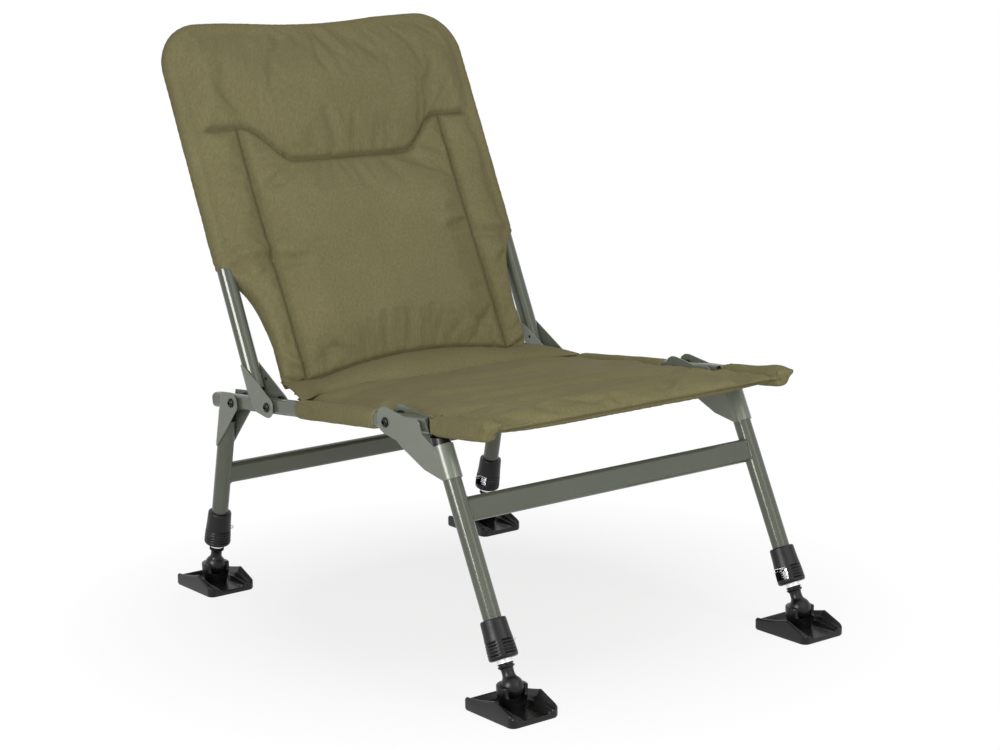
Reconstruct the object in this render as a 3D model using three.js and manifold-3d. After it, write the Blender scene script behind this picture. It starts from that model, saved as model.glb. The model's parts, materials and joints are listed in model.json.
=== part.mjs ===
// A low folding fishing chair: a sloping seat frame with two leg frames that fold under it, a padded
// back that folds onto it, and four telescopic legs that end in wide feet on ball joints.
// Millimetres, z up, the sitter faces -y. The origin is the middle of the space the chair stands on.

import * as THREE from 'three';
import { mergeVertices } from 'three/addons/utils/BufferGeometryUtils.js';
import Module from 'manifold-3d';

const wasm = await Module();
wasm.setup();

// Clearances, and the overrun of every cut
const seatingGap = 0.3;
const runningGap = 0.4;
const overrun = 2;

// Seat frame: two parallel rails that slope down to the rear, measured from the front pivots
const railSpan = 500;
const railWidth = 18;
const railHeight = 22;
const railCornerRadius = 7.5;
const railWall = 1.5;
const railSlopeDegrees = 5.54;
const railRearOverhang = 53.8;
const frontPivotHeight = 331.1;
const backPivotReach = 290.2;
const rearPivotSpacing = 96;
const rearCapLength = 11;
const frontCapLength = 2.4;
const capPlugLength = 14;
const capSides = 10;
const capRings = 4;

// Round tubes of the legs and the back
const tubeRadius = 12;
const tubeWall = 1.4;
const tubeSides = 14;
const plugLength = 16;
const plugLipThickness = 1.2;

// Leg frames, each seen from its own pivot: the leg passes beside the pivot and leans
const frontLeanDegrees = 25.7;
const frontLegOffset = 88.3;
const frontTubeTop = 58;
const frontCheekGap = 1.2;
const frontCrossbarDrop = 144;
const rearLeanDegrees = 12.95;
const rearLegOffset = 26;
const rearCrossbarDrop = 112.5;
const crossbarHeight = 32;
const crossbarDepth = 16;
const crossbarWall = 1.5;
const cornerSegments = 3;

// Back frame, seen from the back pivots
const backLeanDegrees = 24.6;
const backTubeOffset = 35.5;
const backTubeBottom = 34;
const backFrameHeight = 572;
const backTopSag = 13;
const backCornerRadius = 52;
const backCornerSteps = 4;
const backTopSteps = 5;
const backBendSides = 10;

// Sheet steel brackets
const sheetThickness = 1.8;
const pivotEarRadius = 15;
const frontEarRadius = 18;
const frontEarRise = 3;
const rearBracketDrop = 79;
const rearBracketTipWidth = 13;
const frontBracketDrop = 103;
const backBracketRise = 73;
const backBracketTipWidth = 15;
const backBracketChinReach = 30;
const backBracketChinRise = 2;
const earSegments = 7;

// Pivot bolts, with the spacer washers that hold the brackets off the rails, and their nuts
const boltRadius = 3.7;
const boltHeadRadius = 6.8;
const boltHeadHeight = 3.6;
const boltHeadEdge = 2;
const boltSides = 10;
const boltTail = 1.5;
const spacerRadius = 12.5;
const nutAcrossFlats = 13;
const nutHeight = 6.5;
const nutCollarRadius = 8;
const nutCollarHeight = 1.4;

// Legs' lower ends, measured up the leg from the middle of the ball
const ballHeight = 34.6;
const ballRadius = 15;
const ballSides = 12;
const ballRings = 6;
const neckRadius = 8;
const collarRadius = 10.8;
const collarBottom = 24;
const collarTop = 30;
const collarFlare = 1.5;
const stemPlugLength = 14;
const innerLegRadius = 10;
const innerLegWall = 1.2;
const innerLegLength = 172;
const innerLegShown = 5.5;
const innerLegSides = 12;
const holeRadius = 2.6;
const holePitch = 20;
const holeCount = 6;
const holeSides = 6;
const housingLength = 51;
const housingTopRadius = 17;
const housingBottomRadius = 19.3;
const housingEdge = 2.4;
const housingShoulder = 29;
const windowHeight = 17;
const windowFloor = 7;
const windowSideGap = 1;

// Spring clip: one wire with a locking pin, a coil and a finger loop
const wireRadius = 0.9;
const wireSides = 5;
const coilRadius = 3.3;
const coilPitch = 2.7;
const coilTurns = 4;
const coilStepsPerTurn = 8;
const coilReach = 15.6;
const loopReach = 6;
const loopRise = 6.5;

// Foot pads
const padWidth = 76;
const padDepth = 96;
const padThickness = 7;
const padBevel = 3;
const padCornerRadius = 9;
const wingFrontHeight = 12.5;
const wingRearHeight = 17.5;
const wingPeakHeight = 25;
const wingPeakReach = 12;
const wingPeakLength = 6;
const wingRidgeInset = 4;
const wingFootInset = 21;
const socketRadius = 20;
const socketHeight = 38;
const socketFlare = 3;
const socketCheekReach = 9;
const socketLipHeight = 24;

// Seat cloth: a padded sheet with sleeves sewn round the rails, measured from the front pivots
const sleeveWall = 2;
const sleeveGap = 0.4;
const frontSleeveEnd = 93;
const rearSleeveStart = 38;
const rearSleeveInset = 54.2;
const seatFrontReach = 203;
const seatFrontOverhang = 4;
const notchInset = 27;
const notchRun = 16;
const seatEdgeThickness = 5;
const seatCrown = 10;
const seatNose = 14;
const seatFrontRoll = 7;
const seatSag = 9;
const seatFoldDepth = 1.6;
const seatFoldPitch = 92;
const seatCreaseInset = 32.2;
const flapLength = 53;
const flapRise = 20;
const flapThickness = 6;

// Back cushion: a padded pocket pulled over the back frame
const pocketWall = 2.7;
const pocketBottom = 213;
const pocketStep = 2;
const pocketTuck = 1.2;
const cushionBottom = 32.5;
const cushionWaistHeight = 120;
const cushionWaistInset = 27;
const cushionHipInset = 19;
const cushionCrown = 15;
const cushionDraw = 8;
const cushionEdgeThickness = 8;
const cushionFrontReach = 22;
const cushionThickness = 16;
const seamInset = 71;
const seamDepth = 6;
const seamWidth = 13;
const headSeamLow = 353;
const headSeamHigh = 410;
const headSeamLowInset = 150;
const headSeamHighInset = 78;

const degree = Math.PI / 180;

const finishes = {
  frame: { color: 0x6c7163, roughness: 0.42, metalness: 0.25 },
  bracket: { color: 0x7d8274, roughness: 0.45, metalness: 0.25 },
  blackPlastic: { color: 0x262626, roughness: 0.5, metalness: 0 },
  blackSteel: { color: 0x1c1c1d, roughness: 0.35, metalness: 0.7 },
  brightSteel: { color: 0xd4d6d8, roughness: 0.22, metalness: 1 },
  cloth: { color: 0x7a7351, roughness: 0.9, metalness: 0 },
};

// Solids: a closed geometry goes in, and a closed geometry comes back

function solidOf(geometry) {
  const bare = geometry.clone();
  bare.deleteAttribute('normal');
  bare.deleteAttribute('uv');
  const merged = mergeVertices(bare);
  const vertProperties = new Float32Array(merged.attributes.position.array);
  const triVerts = new Uint32Array(merged.index.array);
  return new wasm.Manifold(new wasm.Mesh({ numProp: 3, vertProperties, triVerts }));
}

function geometryOf(solid) {
  const mesh = solid.getMesh();
  const geometry = new THREE.BufferGeometry();
  geometry.setAttribute('position', new THREE.BufferAttribute(new Float32Array(mesh.vertProperties), 3));
  geometry.setIndex(new THREE.BufferAttribute(new Uint32Array(mesh.triVerts), 1));
  geometry.computeVertexNormals();
  return geometry;
}

function joined(first, ...others) {
  return geometryOf(others.reduce((sum, next) => sum.add(solidOf(next)), solidOf(first)));
}

function cut(first, ...others) {
  return geometryOf(others.reduce((rest, next) => rest.subtract(solidOf(next)), solidOf(first)));
}

function common(first, second) {
  return geometryOf(solidOf(first).intersect(solidOf(second)));
}

function mirroredInX(geometry) {
  return geometryOf(solidOf(geometry).mirror([1, 0, 0]));
}

function moved(geometry, x, y, z) {
  return geometry.clone().translate(x, y, z);
}

function barAlongZ(radius, bottom, top, sides = tubeSides) {
  return new THREE.CylinderGeometry(radius, radius, top - bottom, sides)
    .rotateX(Math.PI / 2)
    .translate(0, 0, (top + bottom) / 2);
}

function barAlongX(radius, from, to, sides = boltSides) {
  return new THREE.CylinderGeometry(radius, radius, to - from, sides)
    .rotateZ(Math.PI / 2)
    .translate((to + from) / 2, 0, 0);
}

function block(xLow, xHigh, yLow, yHigh, zLow, zHigh) {
  return new THREE.BoxGeometry(xHigh - xLow, yHigh - yLow, zHigh - zLow)
    .translate((xLow + xHigh) / 2, (yLow + yHigh) / 2, (zLow + zHigh) / 2);
}

// A profile of [radius, z] points turned about z; it starts and ends on the axis, or closes on itself
function turnedAboutZ(profile, sides = tubeSides) {
  const points = profile.map(([radius, z]) => new THREE.Vector2(radius, z));
  return new THREE.LatheGeometry(points, sides).rotateX(Math.PI / 2);
}

function tubeAlongZ(outer, inner, bottom, top, sides = tubeSides) {
  return turnedAboutZ([[inner, bottom], [outer, bottom], [outer, top], [inner, top], [inner, bottom]], sides);
}

// A shape drawn in the side view, with its own x along y and its own y along z, given width along x
function sideSolid(shape, xLow, xHigh) {
  const sideView = new THREE.Matrix4().makeBasis(
    new THREE.Vector3(0, 1, 0),
    new THREE.Vector3(0, 0, 1),
    new THREE.Vector3(1, 0, 0),
  );
  return new THREE.ExtrudeGeometry(shape, {
    depth: xHigh - xLow,
    bevelEnabled: false,
    curveSegments: cornerSegments,
  })
    .applyMatrix4(sideView)
    .translate(xLow, 0, 0);
}

function outlineShape(outline) {
  return new THREE.Shape(outline.map(([y, z]) => new THREE.Vector2(y, z)));
}

function arcPoints(y, z, radius, fromDegrees, toDegrees, segments = earSegments) {
  return Array.from({ length: segments + 1 }, (_, i) => {
    const angle = (fromDegrees + ((toDegrees - fromDegrees) * i) / segments) * degree;
    return [y + radius * Math.cos(angle), z + radius * Math.sin(angle)];
  });
}

function roundedRectangle(width, height, radius) {
  const shape = new THREE.Shape();
  const x = width / 2 - radius;
  const y = height / 2 - radius;
  shape.absarc(x, y, radius, 0, Math.PI / 2);
  shape.absarc(-x, y, radius, Math.PI / 2, Math.PI);
  shape.absarc(-x, -y, radius, Math.PI, 1.5 * Math.PI);
  shape.absarc(x, -y, radius, 1.5 * Math.PI, 2 * Math.PI);
  shape.closePath();
  return shape;
}

// A closed solid between an upper and a lower grid of points
function paddedSolid(columns, rows, upperAt, lowerAt) {
  const position = [];
  const index = [];
  for (const pointAt of [upperAt, lowerAt]) {
    for (let row = 0; row <= rows; row += 1) {
      for (let column = 0; column <= columns; column += 1) {
        position.push(...pointAt(column, row));
      }
    }
  }
  const stride = columns + 1;
  const layer = stride * (rows + 1);
  const quad = (a, b, c, d) => index.push(a, b, c, a, c, d);
  for (let row = 0; row < rows; row += 1) {
    for (let column = 0; column < columns; column += 1) {
      const corner = row * stride + column;
      quad(corner, corner + 1, corner + 1 + stride, corner + stride);
      const below = corner + layer;
      quad(below, below + stride, below + stride + 1, below + 1);
    }
  }
  for (let column = 0; column < columns; column += 1) {
    const far = rows * stride + column;
    quad(column, column + layer, column + layer + 1, column + 1);
    quad(far, far + 1, far + 1 + layer, far + layer);
  }
  for (let row = 0; row < rows; row += 1) {
    const left = row * stride;
    const right = left + columns;
    quad(left, left + stride, left + stride + layer, left + layer);
    quad(right, right + layer, right + layer + stride, right + stride);
  }
  const geometry = new THREE.BufferGeometry();
  geometry.setAttribute('position', new THREE.Float32BufferAttribute(position, 3));
  geometry.setIndex(index);
  return geometry;
}

function meshOf(name, geometry, finish) {
  const mesh = new THREE.Mesh(geometry, new THREE.MeshStandardMaterial(finishes[finish]));
  mesh.name = name;
  return mesh;
}

// Each side's name, and its sign along x: the sitter's left is +x
const sides = [['left', 1], ['right', -1]];

// Sizes that follow from the driving ones

const railX = railSpan / 2;
const railHalfWidth = railWidth / 2;
const railHalfHeight = railHeight / 2;
const bracketInside = tubeRadius + seatingGap;
const bracketOutside = bracketInside + sheetThickness;
const tubeBore = tubeRadius - tubeWall;
const pivotHoleRadius = boltRadius + runningGap;
const rearPivotReach = backPivotReach + rearPivotSpacing;
const railRearReach = rearPivotReach + railRearOverhang;
const railFrontReach = seatFrontReach - seatFrontOverhang;
const rearSleeveEnd = backPivotReach - rearSleeveInset;
const seatCreaseReach = backPivotReach - seatCreaseInset;
const flapReach = seatCreaseReach + flapLength;

// The rail's slope as each folding frame sees it, positive where it climbs to the rear
const frontRailDegrees = frontLeanDegrees - railSlopeDegrees;
const rearRailDegrees = -rearLeanDegrees - railSlopeDegrees;
const backRailDegrees = backLeanDegrees - railSlopeDegrees;

// Height of a line beside the rail, at a distance behind the pivot
function besideRail(railDegrees, offset, y) {
  return y * Math.tan(railDegrees * degree) + offset / Math.cos(railDegrees * degree);
}

const housingBottom = collarTop + innerLegShown;
const housingTop = housingBottom + housingLength;
const outerTubeBottom = housingBottom + housingShoulder + seatingGap;
const rearTubeTop = plugLipThickness + 2 * seatingGap
  - besideRail(rearRailDegrees, -railHalfHeight, rearLegOffset + tubeRadius);

// How far down the leg from its pivot the ball's middle lies, so that every foot stands on the ground
function ballDrop(pivotHeight, offset, leanDegrees) {
  return (pivotHeight + offset * Math.sin(leanDegrees * degree) - ballHeight) / Math.cos(leanDegrees * degree);
}

const rearPivotHeight = frontPivotHeight - rearPivotReach * Math.sin(railSlopeDegrees * degree);
const frontBallDrop = ballDrop(frontPivotHeight, frontLegOffset, frontLeanDegrees);
const rearBallDrop = ballDrop(rearPivotHeight, rearLegOffset, rearLeanDegrees);

// Rails and their caps, along y from the front pivot

// The rail's section, grown all round, as a bar along y
function railBar(grow, from, to) {
  const shape = roundedRectangle(railWidth + 2 * grow, railHeight + 2 * grow, railCornerRadius + grow);
  return new THREE.ExtrudeGeometry(shape, {
    depth: to - from,
    bevelEnabled: false,
    curveSegments: cornerSegments,
  })
    .rotateX(Math.PI / 2)
    .translate(0, to, 0);
}

function railGeometry() {
  const outer = railBar(0, -railFrontReach, railRearReach);
  const bore = railBar(-railWall, -railFrontReach - overrun, railRearReach + overrun);
  const holes = [0, backPivotReach, rearPivotReach].map((reach) => (
    moved(barAlongX(pivotHoleRadius, -railWidth, railWidth), 0, reach, 0)
  ));
  return cut(outer, bore, ...holes);
}

// A domed plug: the rail ends at y = 0 and the dome points to +y
function railCapGeometry(domeLength) {
  const dome = new THREE.SphereGeometry(1, capSides, capRings)
    .scale(railHalfWidth, domeLength, railHalfHeight);
  const beyond = block(-railWidth, railWidth, seatingGap, domeLength + overrun, -railHeight, railHeight);
  const stemTop = (seatingGap + domeLength) / 2;
  return joined(common(dome, beyond), railBar(-railWall - seatingGap, -capPlugLength, stemTop));
}

function addRails(frame) {
  for (const [side, sign] of sides) {
    const rail = meshOf(`seat_rail_${side}`, railGeometry(), 'frame');
    rail.position.x = sign * railX;
    const rearCap = meshOf(`rail_rear_cap_${side}`, railCapGeometry(rearCapLength), 'frame');
    rearCap.position.set(sign * railX, railRearReach, 0);
    const frontCap = meshOf(`rail_front_cap_${side}`, railCapGeometry(frontCapLength), 'blackPlastic');
    frontCap.rotation.z = Math.PI;
    frontCap.position.set(sign * railX, -railFrontReach, 0);
    frame.add(rail, rearCap, frontCap);
  }
}

// Pivot bolts and nuts, along x; the bolt's head is on the chair's outer side

function boltGeometry() {
  const headBase = bracketOutside + seatingGap;
  const tail = headBase + nutHeight + boltTail;
  const spacerNear = railHalfWidth + seatingGap;
  const spacerFar = bracketInside - seatingGap;
  const profile = [
    [0, -tail],
    [boltRadius, -tail],
    [boltRadius, -spacerFar],
    [spacerRadius, -spacerFar],
    [spacerRadius, -spacerNear],
    [boltRadius, -spacerNear],
    [boltRadius, spacerNear],
    [spacerRadius, spacerNear],
    [spacerRadius, spacerFar],
    [boltRadius, spacerFar],
    [boltRadius, headBase],
    [boltHeadRadius, headBase],
    [boltHeadRadius, headBase + boltHeadHeight - boltHeadEdge],
    [boltHeadRadius - boltHeadEdge, headBase + boltHeadHeight],
    [0, headBase + boltHeadHeight],
  ];
  return turnedAboutZ(profile, boltSides).rotateY(Math.PI / 2);
}

function nutGeometry() {
  const face = bracketOutside + seatingGap;
  const hexRadius = nutAcrossFlats / 2 / Math.cos(Math.PI / 6);
  const hex = barAlongX(hexRadius, -face - nutHeight, -face - nutCollarHeight / 2, 6);
  const collar = barAlongX(nutCollarRadius, -face - nutCollarHeight, -face);
  const bore = barAlongX(boltRadius + seatingGap, -face - nutHeight - overrun, -face + overrun);
  return cut(joined(hex, collar), bore);
}

function addPivots(frame) {
  for (const [place, reach] of [['front', 0], ['back', backPivotReach], ['rear', rearPivotReach]]) {
    for (const [side, sign] of sides) {
      const bolt = meshOf(`${place}_pivot_bolt_${side}`, boltGeometry(), 'blackSteel');
      const nut = meshOf(`${place}_pivot_nut_${side}`, nutGeometry(), 'blackSteel');
      for (const piece of [bolt, nut]) {
        piece.position.set(sign * railX, reach, 0);
        piece.rotation.z = sign > 0 ? 0 : Math.PI;
        frame.add(piece);
      }
    }
  }
}

// Brackets: sheet steel bent round a tube into a channel, and cut to an outline in the side view.
// The channel is open towards the pivot, and its outline has its pivot hole at the origin.

function channelGeometry(tubeY) {
  const open = (half, spare) => {
    const far = -Math.sign(tubeY) * (frontEarRadius + overrun + spare);
    const length = frontBracketDrop + frontBallDrop;
    return joined(
      block(-half, half, Math.min(tubeY, far), Math.max(tubeY, far), -length - spare, length + spare),
      moved(barAlongZ(half, -length - spare, length + spare), 0, tubeY, 0),
    );
  };
  return cut(open(bracketOutside, 0), open(bracketInside, overrun));
}

function bracketGeometry(outline, tubeY, ...clearings) {
  const blank = sideSolid(outlineShape(outline), -bracketOutside - overrun, bracketOutside + overrun);
  const hole = barAlongX(pivotHoleRadius, -railWidth, railWidth);
  return cut(common(channelGeometry(tubeY), blank), hole, ...clearings);
}

// The rail's way between a bracket's cheeks, from one height beside the rail to another
function railWay(railDegrees, low, high) {
  return block(-bracketInside, bracketInside, -railSpan, railSpan, low, high).rotateX(railDegrees * degree);
}

// Where the line from an outside point touches the ear, as an angle; turn 1 is the counter-clockwise side
function tangentDegrees(y, z, earRise, earRadius, turn) {
  const distance = Math.hypot(y, z - earRise);
  return (Math.atan2(z - earRise, y) + turn * Math.acos(earRadius / distance)) / degree;
}

function rearBracketGeometry() {
  const back = rearLegOffset + bracketOutside + overrun;
  const tip = rearLegOffset + bracketOutside - rearBracketTipWidth;
  const tipDegrees = tangentDegrees(tip, -rearBracketDrop, 0, pivotEarRadius, -1);
  const outline = [
    ...arcPoints(0, 0, pivotEarRadius, 90 + rearRailDegrees, 360 + tipDegrees),
    [tip, -rearBracketDrop],
    [back, -rearBracketDrop],
    [back, besideRail(rearRailDegrees, pivotEarRadius, back)],
  ];
  const way = railWay(rearRailDegrees, -railHalfHeight - seatingGap, railSpan);
  return bracketGeometry(outline, rearLegOffset, way);
}

// The back bracket's web rests on the rail, and so stops the back where it leans
function backBracketGeometry() {
  const back = backTubeOffset + bracketOutside + overrun;
  const tip = backTubeOffset + bracketOutside - backBracketTipWidth;
  const heel = backBracketChinReach + bracketInside;
  const stop = railHalfHeight + seatingGap;
  const tipDegrees = tangentDegrees(tip, backBracketRise, 0, pivotEarRadius, 1);
  const chinDegrees = tangentDegrees(backBracketChinReach, backBracketChinRise, 0, pivotEarRadius, -1);
  const outline = [
    ...arcPoints(0, 0, pivotEarRadius, tipDegrees, 360 + chinDegrees),
    [backBracketChinReach, backBracketChinRise],
    [heel, besideRail(backRailDegrees, stop, heel)],
    [back, besideRail(backRailDegrees, stop, back)],
    [back, backBracketRise],
    [tip, backBracketRise],
  ];
  return bracketGeometry(outline, backTubeOffset, railWay(backRailDegrees, -railSpan, stop));
}

// Corners of the front bracket's long strap, as shares of the leg's offset and the bracket's drop
const frontStrapTopShares = [[0.51, 0.06], [0.77, 0.15], [0.81, 0.215], [0.8, 0.356], [0.87, 0.43]];
const frontStrapFootShares = [[0.624, 0.767], [0.232, 0.383], [0.143, 0.27]];

function frontBracketGeometry() {
  const front = -frontLegOffset - bracketOutside - overrun;
  const cornerAt = ([yShare, zShare]) => [-yShare * frontLegOffset, -zShare * frontBracketDrop];
  const top = frontStrapTopShares.map(cornerAt);
  const foot = frontStrapFootShares.map(cornerAt);
  const topDegrees = tangentDegrees(...top[0], frontEarRise, frontEarRadius, -1);
  const footDegrees = tangentDegrees(...foot[foot.length - 1], frontEarRise, frontEarRadius, 1);
  const outline = [
    ...arcPoints(0, frontEarRise, frontEarRadius, footDegrees, 360 + topDegrees),
    ...top,
    [-frontLegOffset, -frontTubeTop],
    [front, -frontTubeTop],
    [front, -frontBracketDrop],
    [-frontLegOffset, -frontBracketDrop],
    ...foot,
  ];
  return bracketGeometry(outline, -frontLegOffset);
}

// Leg tubes, crossbars and plugs, in the frame of their pivot

function legTubeGeometry(drop, top) {
  return tubeAlongZ(tubeRadius, tubeBore, -drop + outerTubeBottom, -top);
}

// A plug in a tube's end: the end is at z = 0, and the lip lies above it
function plugGeometry() {
  const lipTop = seatingGap + plugLipThickness;
  return joined(
    barAlongZ(tubeRadius, seatingGap, lipTop),
    barAlongZ(tubeBore - seatingGap, -plugLength, (seatingGap + lipTop) / 2),
  );
}

function rearPlugGeometry() {
  return moved(plugGeometry(), 0, rearLegOffset, -rearTubeTop);
}

// The front plug rises beside the rail in two low cheeks, and stays clear of the sleeve's end
function frontPlugGeometry() {
  const cheekTop = besideRail(frontRailDegrees, railHalfHeight, -frontLegOffset);
  const post = barAlongZ(tubeRadius, -frontTubeTop + seatingGap, cheekTop);
  const stem = barAlongZ(tubeBore - seatingGap, -frontTubeTop - plugLength, -frontTubeTop + plugLipThickness);
  const spaceFor = (half, grow, yHigh) => moved(
    block(-half, half, -railSpan, yHigh, -railHalfHeight - grow, railSpan).rotateX(frontRailDegrees * degree),
    0,
    frontLegOffset,
    0,
  );
  const forRail = spaceFor(railHalfWidth + runningGap, seatingGap, railSpan);
  const forSleeve = spaceFor(railWidth, sleeveGap + sleeveWall + seatingGap, -frontSleeveEnd + frontCheekGap);
  return cut(moved(joined(post, stem), 0, -frontLegOffset, 0), ...[forRail, forSleeve].map((space) => (
    moved(space, 0, -frontLegOffset, 0)
  )));
}

function crossbarGeometry() {
  const radius = crossbarDepth / 2 - seatingGap;
  const outline = roundedRectangle(crossbarDepth, crossbarHeight, radius);
  const bore = roundedRectangle(
    crossbarDepth - 2 * crossbarWall,
    crossbarHeight - 2 * crossbarWall,
    radius - crossbarWall,
  );
  outline.holes.push(bore);
  const legs = sides.map(([, sign]) => (
    moved(barAlongZ(tubeRadius + seatingGap, -crossbarHeight, crossbarHeight), sign * railX, 0, 0)
  ));
  return cut(sideSolid(outline, -railX, railX), ...legs);
}

// Feet, along the leg from the middle of the ball; the clip faces +x

const coilBottom = housingBottom + windowFloor + seatingGap + wireRadius;
const coilTop = coilBottom + coilPitch * coilTurns;

function housingGeometry() {
  const bore = innerLegRadius + runningGap;
  const socket = tubeRadius + seatingGap;
  const shoulder = housingBottom + housingShoulder;
  const shell = turnedAboutZ([
    [bore, housingBottom],
    [housingBottomRadius - housingEdge, housingBottom],
    [housingBottomRadius, housingBottom + housingEdge],
    [housingTopRadius, housingTop - housingEdge],
    [housingTopRadius - housingEdge / 2, housingTop],
    [socket, housingTop],
    [socket, shoulder],
    [bore, shoulder],
    [bore, housingBottom],
  ]);
  const window = block(
    innerLegRadius / 2,
    housingBottomRadius + overrun,
    -2 * coilRadius - wireRadius - windowSideGap,
    wireRadius + windowSideGap,
    housingBottom + windowFloor,
    housingBottom + windowFloor + windowHeight,
  );
  return cut(shell, window);
}

function innerLegGeometry() {
  const bottom = collarTop + seatingGap;
  const bore = innerLegRadius - innerLegWall;
  const tube = tubeAlongZ(innerLegRadius, bore, bottom, bottom + innerLegLength, innerLegSides);
  const holes = Array.from({ length: holeCount }, (_, i) => (
    moved(barAlongX(holeRadius, 0, innerLegRadius + overrun, holeSides), 0, 0, coilTop + i * holePitch)
  ));
  return cut(tube, ...holes);
}

function stemGeometry() {
  const ball = new THREE.SphereGeometry(ballRadius, ballSides, ballRings).rotateX(Math.PI / 2);
  const plugRadius = innerLegRadius - innerLegWall - seatingGap;
  const neck = turnedAboutZ([
    [0, 0],
    [neckRadius, 0],
    [neckRadius, collarBottom],
    [collarRadius, collarBottom + collarFlare],
    [collarRadius, collarTop],
    [plugRadius, collarTop],
    [plugRadius, collarTop + stemPlugLength],
    [0, collarTop + stemPlugLength],
  ], ballSides);
  return joined(ball, neck);
}

// The wire starts at its pin, winds down the coil and ends in the finger loop
function clipPath() {
  const points = [
    new THREE.Vector3(innerLegRadius + seatingGap, 0, coilTop),
    new THREE.Vector3(coilReach - coilRadius, 0, coilTop),
  ];
  for (let i = 0; i <= coilTurns * coilStepsPerTurn; i += 1) {
    const turn = i / coilStepsPerTurn;
    points.push(new THREE.Vector3(
      coilReach + coilRadius * Math.sin(2 * Math.PI * turn),
      -coilRadius + coilRadius * Math.cos(2 * Math.PI * turn),
      coilTop - coilPitch * turn,
    ));
  }
  const loopRadius = loopRise / 2;
  for (const [y, z] of arcPoints(0, 0, loopRadius, -90, 90, coilStepsPerTurn / 2)) {
    points.push(new THREE.Vector3(coilReach + loopReach + y, 0, coilBottom + loopRadius + z));
  }
  points.push(new THREE.Vector3(coilReach + coilRadius + 2 * wireRadius, 0, coilBottom + loopRise));
  return new THREE.CatmullRomCurve3(points, false, 'centripetal');
}

function clipSteps(path) {
  const turnLength = Math.hypot(2 * Math.PI * coilRadius, coilPitch);
  return Math.round((path.getLength() * coilStepsPerTurn) / turnLength);
}

function clipGeometry() {
  const path = clipPath();
  const section = outlineShape(arcPoints(0, 0, wireRadius, 0, 360 - 360 / wireSides, wireSides - 1));
  return new THREE.ExtrudeGeometry(section, {
    steps: clipSteps(path),
    extrudePath: path,
    bevelEnabled: false,
  });
}

// The least clear distance between stretches of the wire that are half a turn or more apart
function leastWireGap() {
  const path = clipPath();
  const points = path.getSpacedPoints(clipSteps(path));
  let least = Infinity;
  points.forEach((point, i) => {
    for (const other of points.slice(i + coilStepsPerTurn / 2)) {
      least = Math.min(least, point.distanceTo(other) - 2 * wireRadius);
    }
  });
  return least;
}

// The pad stands level, and its z runs up from the ground

function padBaseGeometry() {
  const width = padWidth - 2 * padBevel;
  const depth = padDepth - 2 * padBevel;
  const slab = new THREE.ExtrudeGeometry(roundedRectangle(width, depth, padCornerRadius - padBevel), {
    depth: padThickness,
    bevelThickness: padBevel,
    bevelSize: padBevel,
    bevelSegments: 1,
    curveSegments: cornerSegments,
  });
  return common(
    moved(slab, 0, 0, -padBevel),
    block(-padWidth, padWidth, -padDepth, padDepth, 0, padThickness + padBevel),
  );
}

// The wing on the pad's +x edge: a wall that is highest in front of the ball, and slopes down inwards
function padWingGeometry() {
  const edge = padWidth / 2 - padBevel / 2;
  const end = padDepth / 2 - padBevel;
  const ridge = padWidth / 2 - wingRidgeInset;
  const foot = padWidth / 2 - wingFootInset;
  const across = outlineShape([
    [edge, padBevel],
    [edge, wingPeakHeight - padBevel],
    [ridge, wingPeakHeight],
    [foot, padThickness + padBevel],
    [foot, padBevel],
  ]);
  const wall = new THREE.ExtrudeGeometry(across, { depth: padDepth, bevelEnabled: false })
    .rotateX(Math.PI / 2)
    .translate(0, padDepth / 2, 0);
  const along = outlineShape([
    [-end, 0],
    [end, 0],
    [end, wingRearHeight],
    [-wingPeakReach + wingPeakLength / 2, wingPeakHeight],
    [-wingPeakReach - wingPeakLength / 2, wingPeakHeight],
    [-end, wingFrontHeight],
  ]);
  return common(wall, sideSolid(along, 0, padWidth));
}

function footPadGeometry() {
  const wing = padWingGeometry();
  const socket = turnedAboutZ([
    [0, padBevel],
    [socketRadius + socketFlare, padBevel],
    [socketRadius, padThickness + padBevel],
    [socketRadius, socketHeight],
    [0, socketHeight],
  ], ballSides);
  const facetShare = Math.cos(Math.PI / ballSides) * Math.cos(Math.PI / 2 / ballRings);
  const ballSpace = new THREE.SphereGeometry((ballRadius + seatingGap) / facetShare, ballSides, ballRings)
    .rotateX(Math.PI / 2)
    .translate(0, 0, ballHeight);
  const mouth = block(
    -socketRadius - overrun,
    socketRadius + overrun,
    -padDepth / 2,
    -socketCheekReach,
    socketLipHeight,
    socketHeight + overrun,
  );
  const pad = joined(padBaseGeometry(), wing, mirroredInX(wing), socket);
  return moved(cut(pad, ballSpace, mouth), 0, 0, -ballHeight);
}

// One leg's foot, in the leg's frame; the pad turns back to level
function addFoot(legFrame, name, sign, legY, drop, leanDegrees) {
  const foot = new THREE.Group();
  foot.position.set(sign * railX, legY, -drop);
  const turning = [
    meshOf(`adjuster_housing_${name}`, housingGeometry(), 'blackPlastic'),
    meshOf(`spring_clip_${name}`, clipGeometry(), 'brightSteel'),
    meshOf(`inner_leg_${name}`, innerLegGeometry(), 'brightSteel'),
    meshOf(`foot_stem_${name}`, stemGeometry(), 'blackPlastic'),
  ];
  for (const piece of turning) {
    piece.rotation.z = sign > 0 ? Math.PI : 0;
    foot.add(piece);
  }
  const pad = meshOf(`mud_foot_${name}`, footPadGeometry(), 'blackPlastic');
  pad.rotation.x = leanDegrees * degree;
  foot.add(pad);
  legFrame.add(foot);
}

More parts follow.
